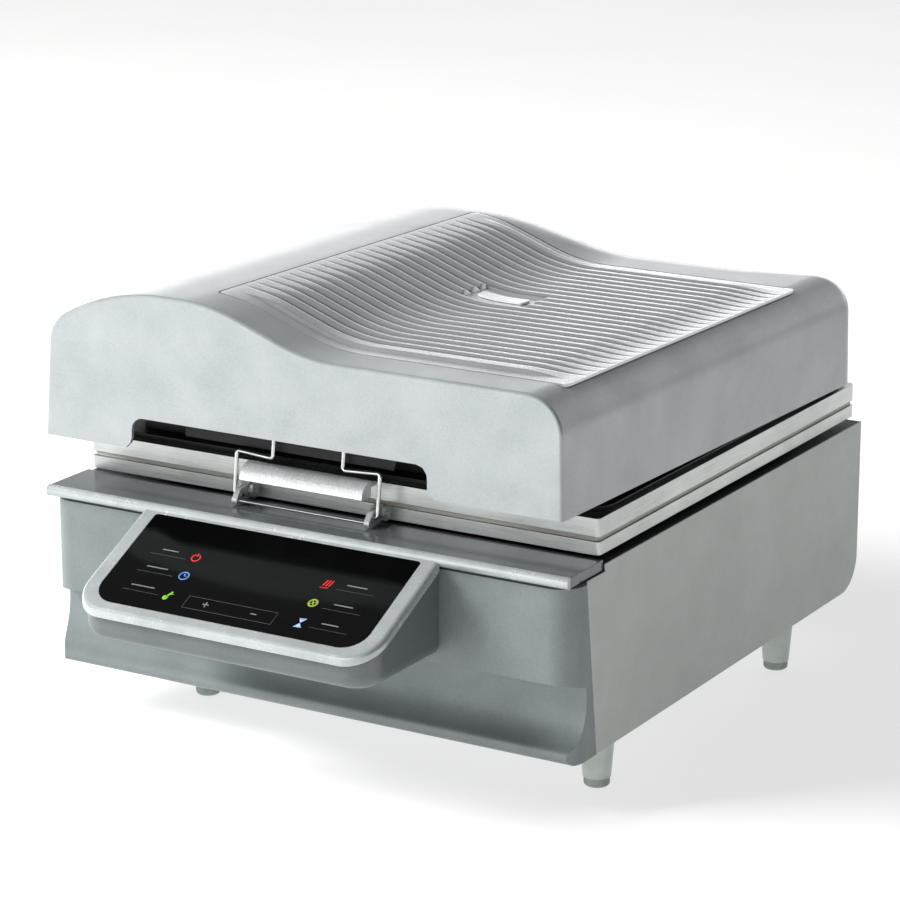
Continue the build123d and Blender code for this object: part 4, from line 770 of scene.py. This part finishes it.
key_lines = [bar_mark(-42, -83, 40, -83, 0.35), bar_mark(-42, -96, 40, -96, 0.35),
             bar_mark(-42, -96, -42, -83, 0.35), bar_mark(40, -96, 40, -83, 0.35)]
words = []
for middle, rows in ((-87.0, ((-40.0, 15), (-60.5, 20), (-82.5, 22))),
                     (88.0, ((-41.5, 18), (-63.5, 17), (-85.0, 15)))):
    for v, width in rows:
        words.append(bar_mark(middle - width / 2, v, middle + width / 2, v, 1.0))
        key_lines.append(bar_mark(middle - 16, v - 6.0, middle + 18, v - 6.0, 0.3))
printed("key_lines", tone(74, 76, 78), 0.08, key_lines)
printed("key_words", tone(118, 120, 122), 0.1, words + [
    bar_mark(-26.4, -89.0, -21.0, -89.0, 1.0), bar_mark(-23.7, -91.7, -23.7, -86.3, 1.0),
    bar_mark(18.0, -89.0, 23.4, -89.0, 1.0)])


# ---- shade strip under the shelf, shelf edge with painted highlight, shade plate under the bezel ---
def shelf_shade_strip():
    """Black strip between the shelf and the block, a painted shade for the shadowed gap there: a flat section
    carried round the block's plan.
    """
    half, front, corner = 245.0, -222.0, 22.0
    turn = np.linspace(math.pi, 1.5 * math.pi, 10)
    left = np.column_stack([-half + corner + corner * np.cos(turn), front + corner + corner * np.sin(turn)])
    right = left[::-1] * [-1, 1]
    path = np.concatenate([left, right])
    outward = np.concatenate([np.column_stack([np.cos(turn), np.sin(turn)]),
                              np.column_stack([-np.cos(turn), np.sin(turn)])[::-1]])
    section = [(-1.0, 184.9), (0.35, 184.9), (0.35, 187.5), (-1.0, 187.5)]
    rows = [np.column_stack([path + outward * out, np.full(len(path), z)]) for out, z in section]
    rows.append(rows[0])
    points = np.concatenate(rows)
    count = len(path)
    faces = [tuple(f) for f in grid_faces(len(rows), count, flip=True)]
    caps = [tuple(r * count for r in range(4)), tuple(r * count + count - 1 for r in reversed(range(4)))]
    return put_mesh("shelf_shade_strip", points, faces + caps)


# painted shade: a black strip where the gap between shelf and block lies in shadow
strip = shelf_shade_strip()
strip.data.materials.append(finishes["rubber_and_shade_black"])
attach(strip, "base")


def bar_along_x(name, profile, ends):
    """A closed bar: one section in the y-z plane, carried between two x places."""
    count = len(profile)
    points = np.concatenate([np.column_stack([np.full(count, x), profile]) for x in ends])
    ring = np.arange(count)
    after = np.roll(ring, -1)
    sides = np.stack([ring, ring + count, after + count, after], axis=1)
    faces = [tuple(s) for s in sides] + [tuple(ring), tuple(ring[::-1] + count)]
    return put_mesh(name, points, faces)


# The shelf's rolled front edge, in the lighter bezel metal: its shape is real, its lighter tone a painted
# highlight along the edge.
turns = np.radians(np.linspace(80, 280, 15))
nose_section = np.column_stack([-223.2 + 4.1 * np.cos(turns), 192.0 + 4.75 * np.sin(turns)])
nose = bar_along_x("shelf_nose_highlight", nose_section, (243.3, -243.3))
nose.data.materials.append(finishes["bezel_metal"])
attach(nose, "base")


def outline_of(points):
    """Corners of the convex outline round flat points, in order: the farthest point in each of many
    directions taken round a circle, each kept once."""
    turn = np.linspace(0, 2 * math.pi, 7200, endpoint=False)
    farthest = np.argmax(points @ np.stack([np.cos(turn), np.sin(turn)]), axis=0)
    return points[farthest[farthest != np.roll(farthest, 1)]]


def bezel_gap_shade():
    """Painted shade under the bezel: a dark plate a little smaller than the bezel's outline, set in the gap
    between bezel and tub where shade falls.
    """
    mesh = frame["nodes"]["console_bezel"].data
    flat = np.empty(len(mesh.vertices) * 3)
    mesh.vertices.foreach_get("co", flat)
    away = flat.reshape(-1, 3) / MM - console_origin
    c, s = math.cos(console_slope), math.sin(console_slope)
    u, v, depth = away[:, 0], away[:, 1] * c + away[:, 2] * s, -away[:, 1] * s + away[:, 2] * c
    outline = outline_of(np.unique(np.round(np.column_stack([u, v]), 4), axis=0))
    centre = outline.mean(axis=0)
    outline = centre + (outline - centre) * (1 - 1.6 / np.abs(outline - centre).max(axis=0))
    back = depth.min()
    low_ring, high_ring = on_console(outline, back - 1.5), on_console(outline, back + 0.5)
    count = len(outline)
    ring = np.arange(count)
    after = np.roll(ring, -1)
    sides = np.stack([ring, after, after + count, ring + count], axis=1)
    faces = [tuple(f) for f in sides] + [tuple(ring[::-1]), tuple(ring + count)]
    return put_mesh("bezel_gap_shade", np.concatenate([low_ring, high_ring]), faces)


# painted shade: a near-black plate in the joint under the bezel
gap = bezel_gap_shade()
gap.data.materials.append(finishes["rubber_and_shade_black"])
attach(gap, "base")


# ---- camera, floor and light ----------------------------------------------------------------
camera_data = bpy.data.cameras.new("camera")
camera = bpy.data.objects.new("camera", camera_data)
bpy.context.scene.collection.objects.link(camera)
camera.location = (1.3955, -2.3403, 0.9841)
camera.rotation_euler = (math.radians(90 - 15.932), 0, math.radians(30.693))
camera_data.lens = 135.26
camera_data.sensor_width = 36
camera_data.clip_end = 60
bpy.context.scene.camera = camera

floor_mesh = bpy.data.meshes.new("floor")
floor_mesh.from_pydata([(-40, -40, 0), (40, -40, 0), (40, 40, 0), (-40, 40, 0)], [], [(0, 1, 2, 3)])
floor = bpy.data.objects.new("floor", floor_mesh)
bpy.context.scene.collection.objects.link(floor)
floor_mesh.materials.append(surface("floor_paper", tone(176, 176, 175), tone(184, 184, 183), (0.7, 0.85),
                                    grain=3, mottle=400, relief=0.02, soil=0.0, Specular_IOR_Level=0.1,
                                    Emission_Color=(1, 1, 1, 1), Emission_Strength=0.62))


def softbox(name, place, target, width, height, power, mirrored=True):
    """A rectangular soft light at a place, turned to face a target. One that isn't mirrored lights the
    object without showing in its gloss."""
    light = bpy.data.lights.new(name, "AREA")
    light.shape = "RECTANGLE"
    light.size, light.size_y = width, height
    light.energy = power
    lamp = bpy.data.objects.new(name, light)
    bpy.context.scene.collection.objects.link(lamp)
    lamp.location = place
    away = Vector(place) - Vector(target)
    lamp.rotation_euler = away.to_track_quat("Z", "Y").to_euler()
    lamp.visible_glossy = mirrored


softbox("key_softbox", (-2.4, -1.6, 2.3), (0, 0, 0.25), 2.2, 1.5, 290, False)
softbox("front_softbox", (-0.6, -3.4, 1.0), (0, 0, 0.25), 2.4, 1.2, 14)

world = bpy.data.worlds.new("studio")
bpy.context.scene.world = world
world.use_nodes = True
sky = world.node_tree
facing = add(sky, "TexCoord").outputs["Generated"]
axes = add(sky, "SeparateXYZ", {"Vector": facing}).outputs
raised = math_node(sky, "MULTIPLY_ADD", axes["X"], -0.25, axes["Z"])
level = ramp(sky, raised, 0.32, 0.60, 1.1, 0.16)
level = math_node(sky, "MULTIPLY", level, ramp(sky, axes["X"], 0.35, 0.75, 1.0, 0.06))
behind = math_node(sky, "MULTIPLY_ADD", axes["Y"], 0.83, math_node(sky, "MULTIPLY", axes["X"], -0.56))
band = math_node(sky, "MULTIPLY", ramp(sky, behind, 0.5, 0.8, 0.0, 3.2),
                 ramp(sky, axes["Z"], 0.06, 0.145, 1.0, 0.0))
level = math_node(sky, "ADD", level, band)
sky.links.new(level, sky.nodes["Background"].inputs["Strength"])
sky.nodes["Background"].inputs["Color"].default_value = (1, 1, 1, 1)
bpy.context.scene.view_settings.view_transform = "Standard"
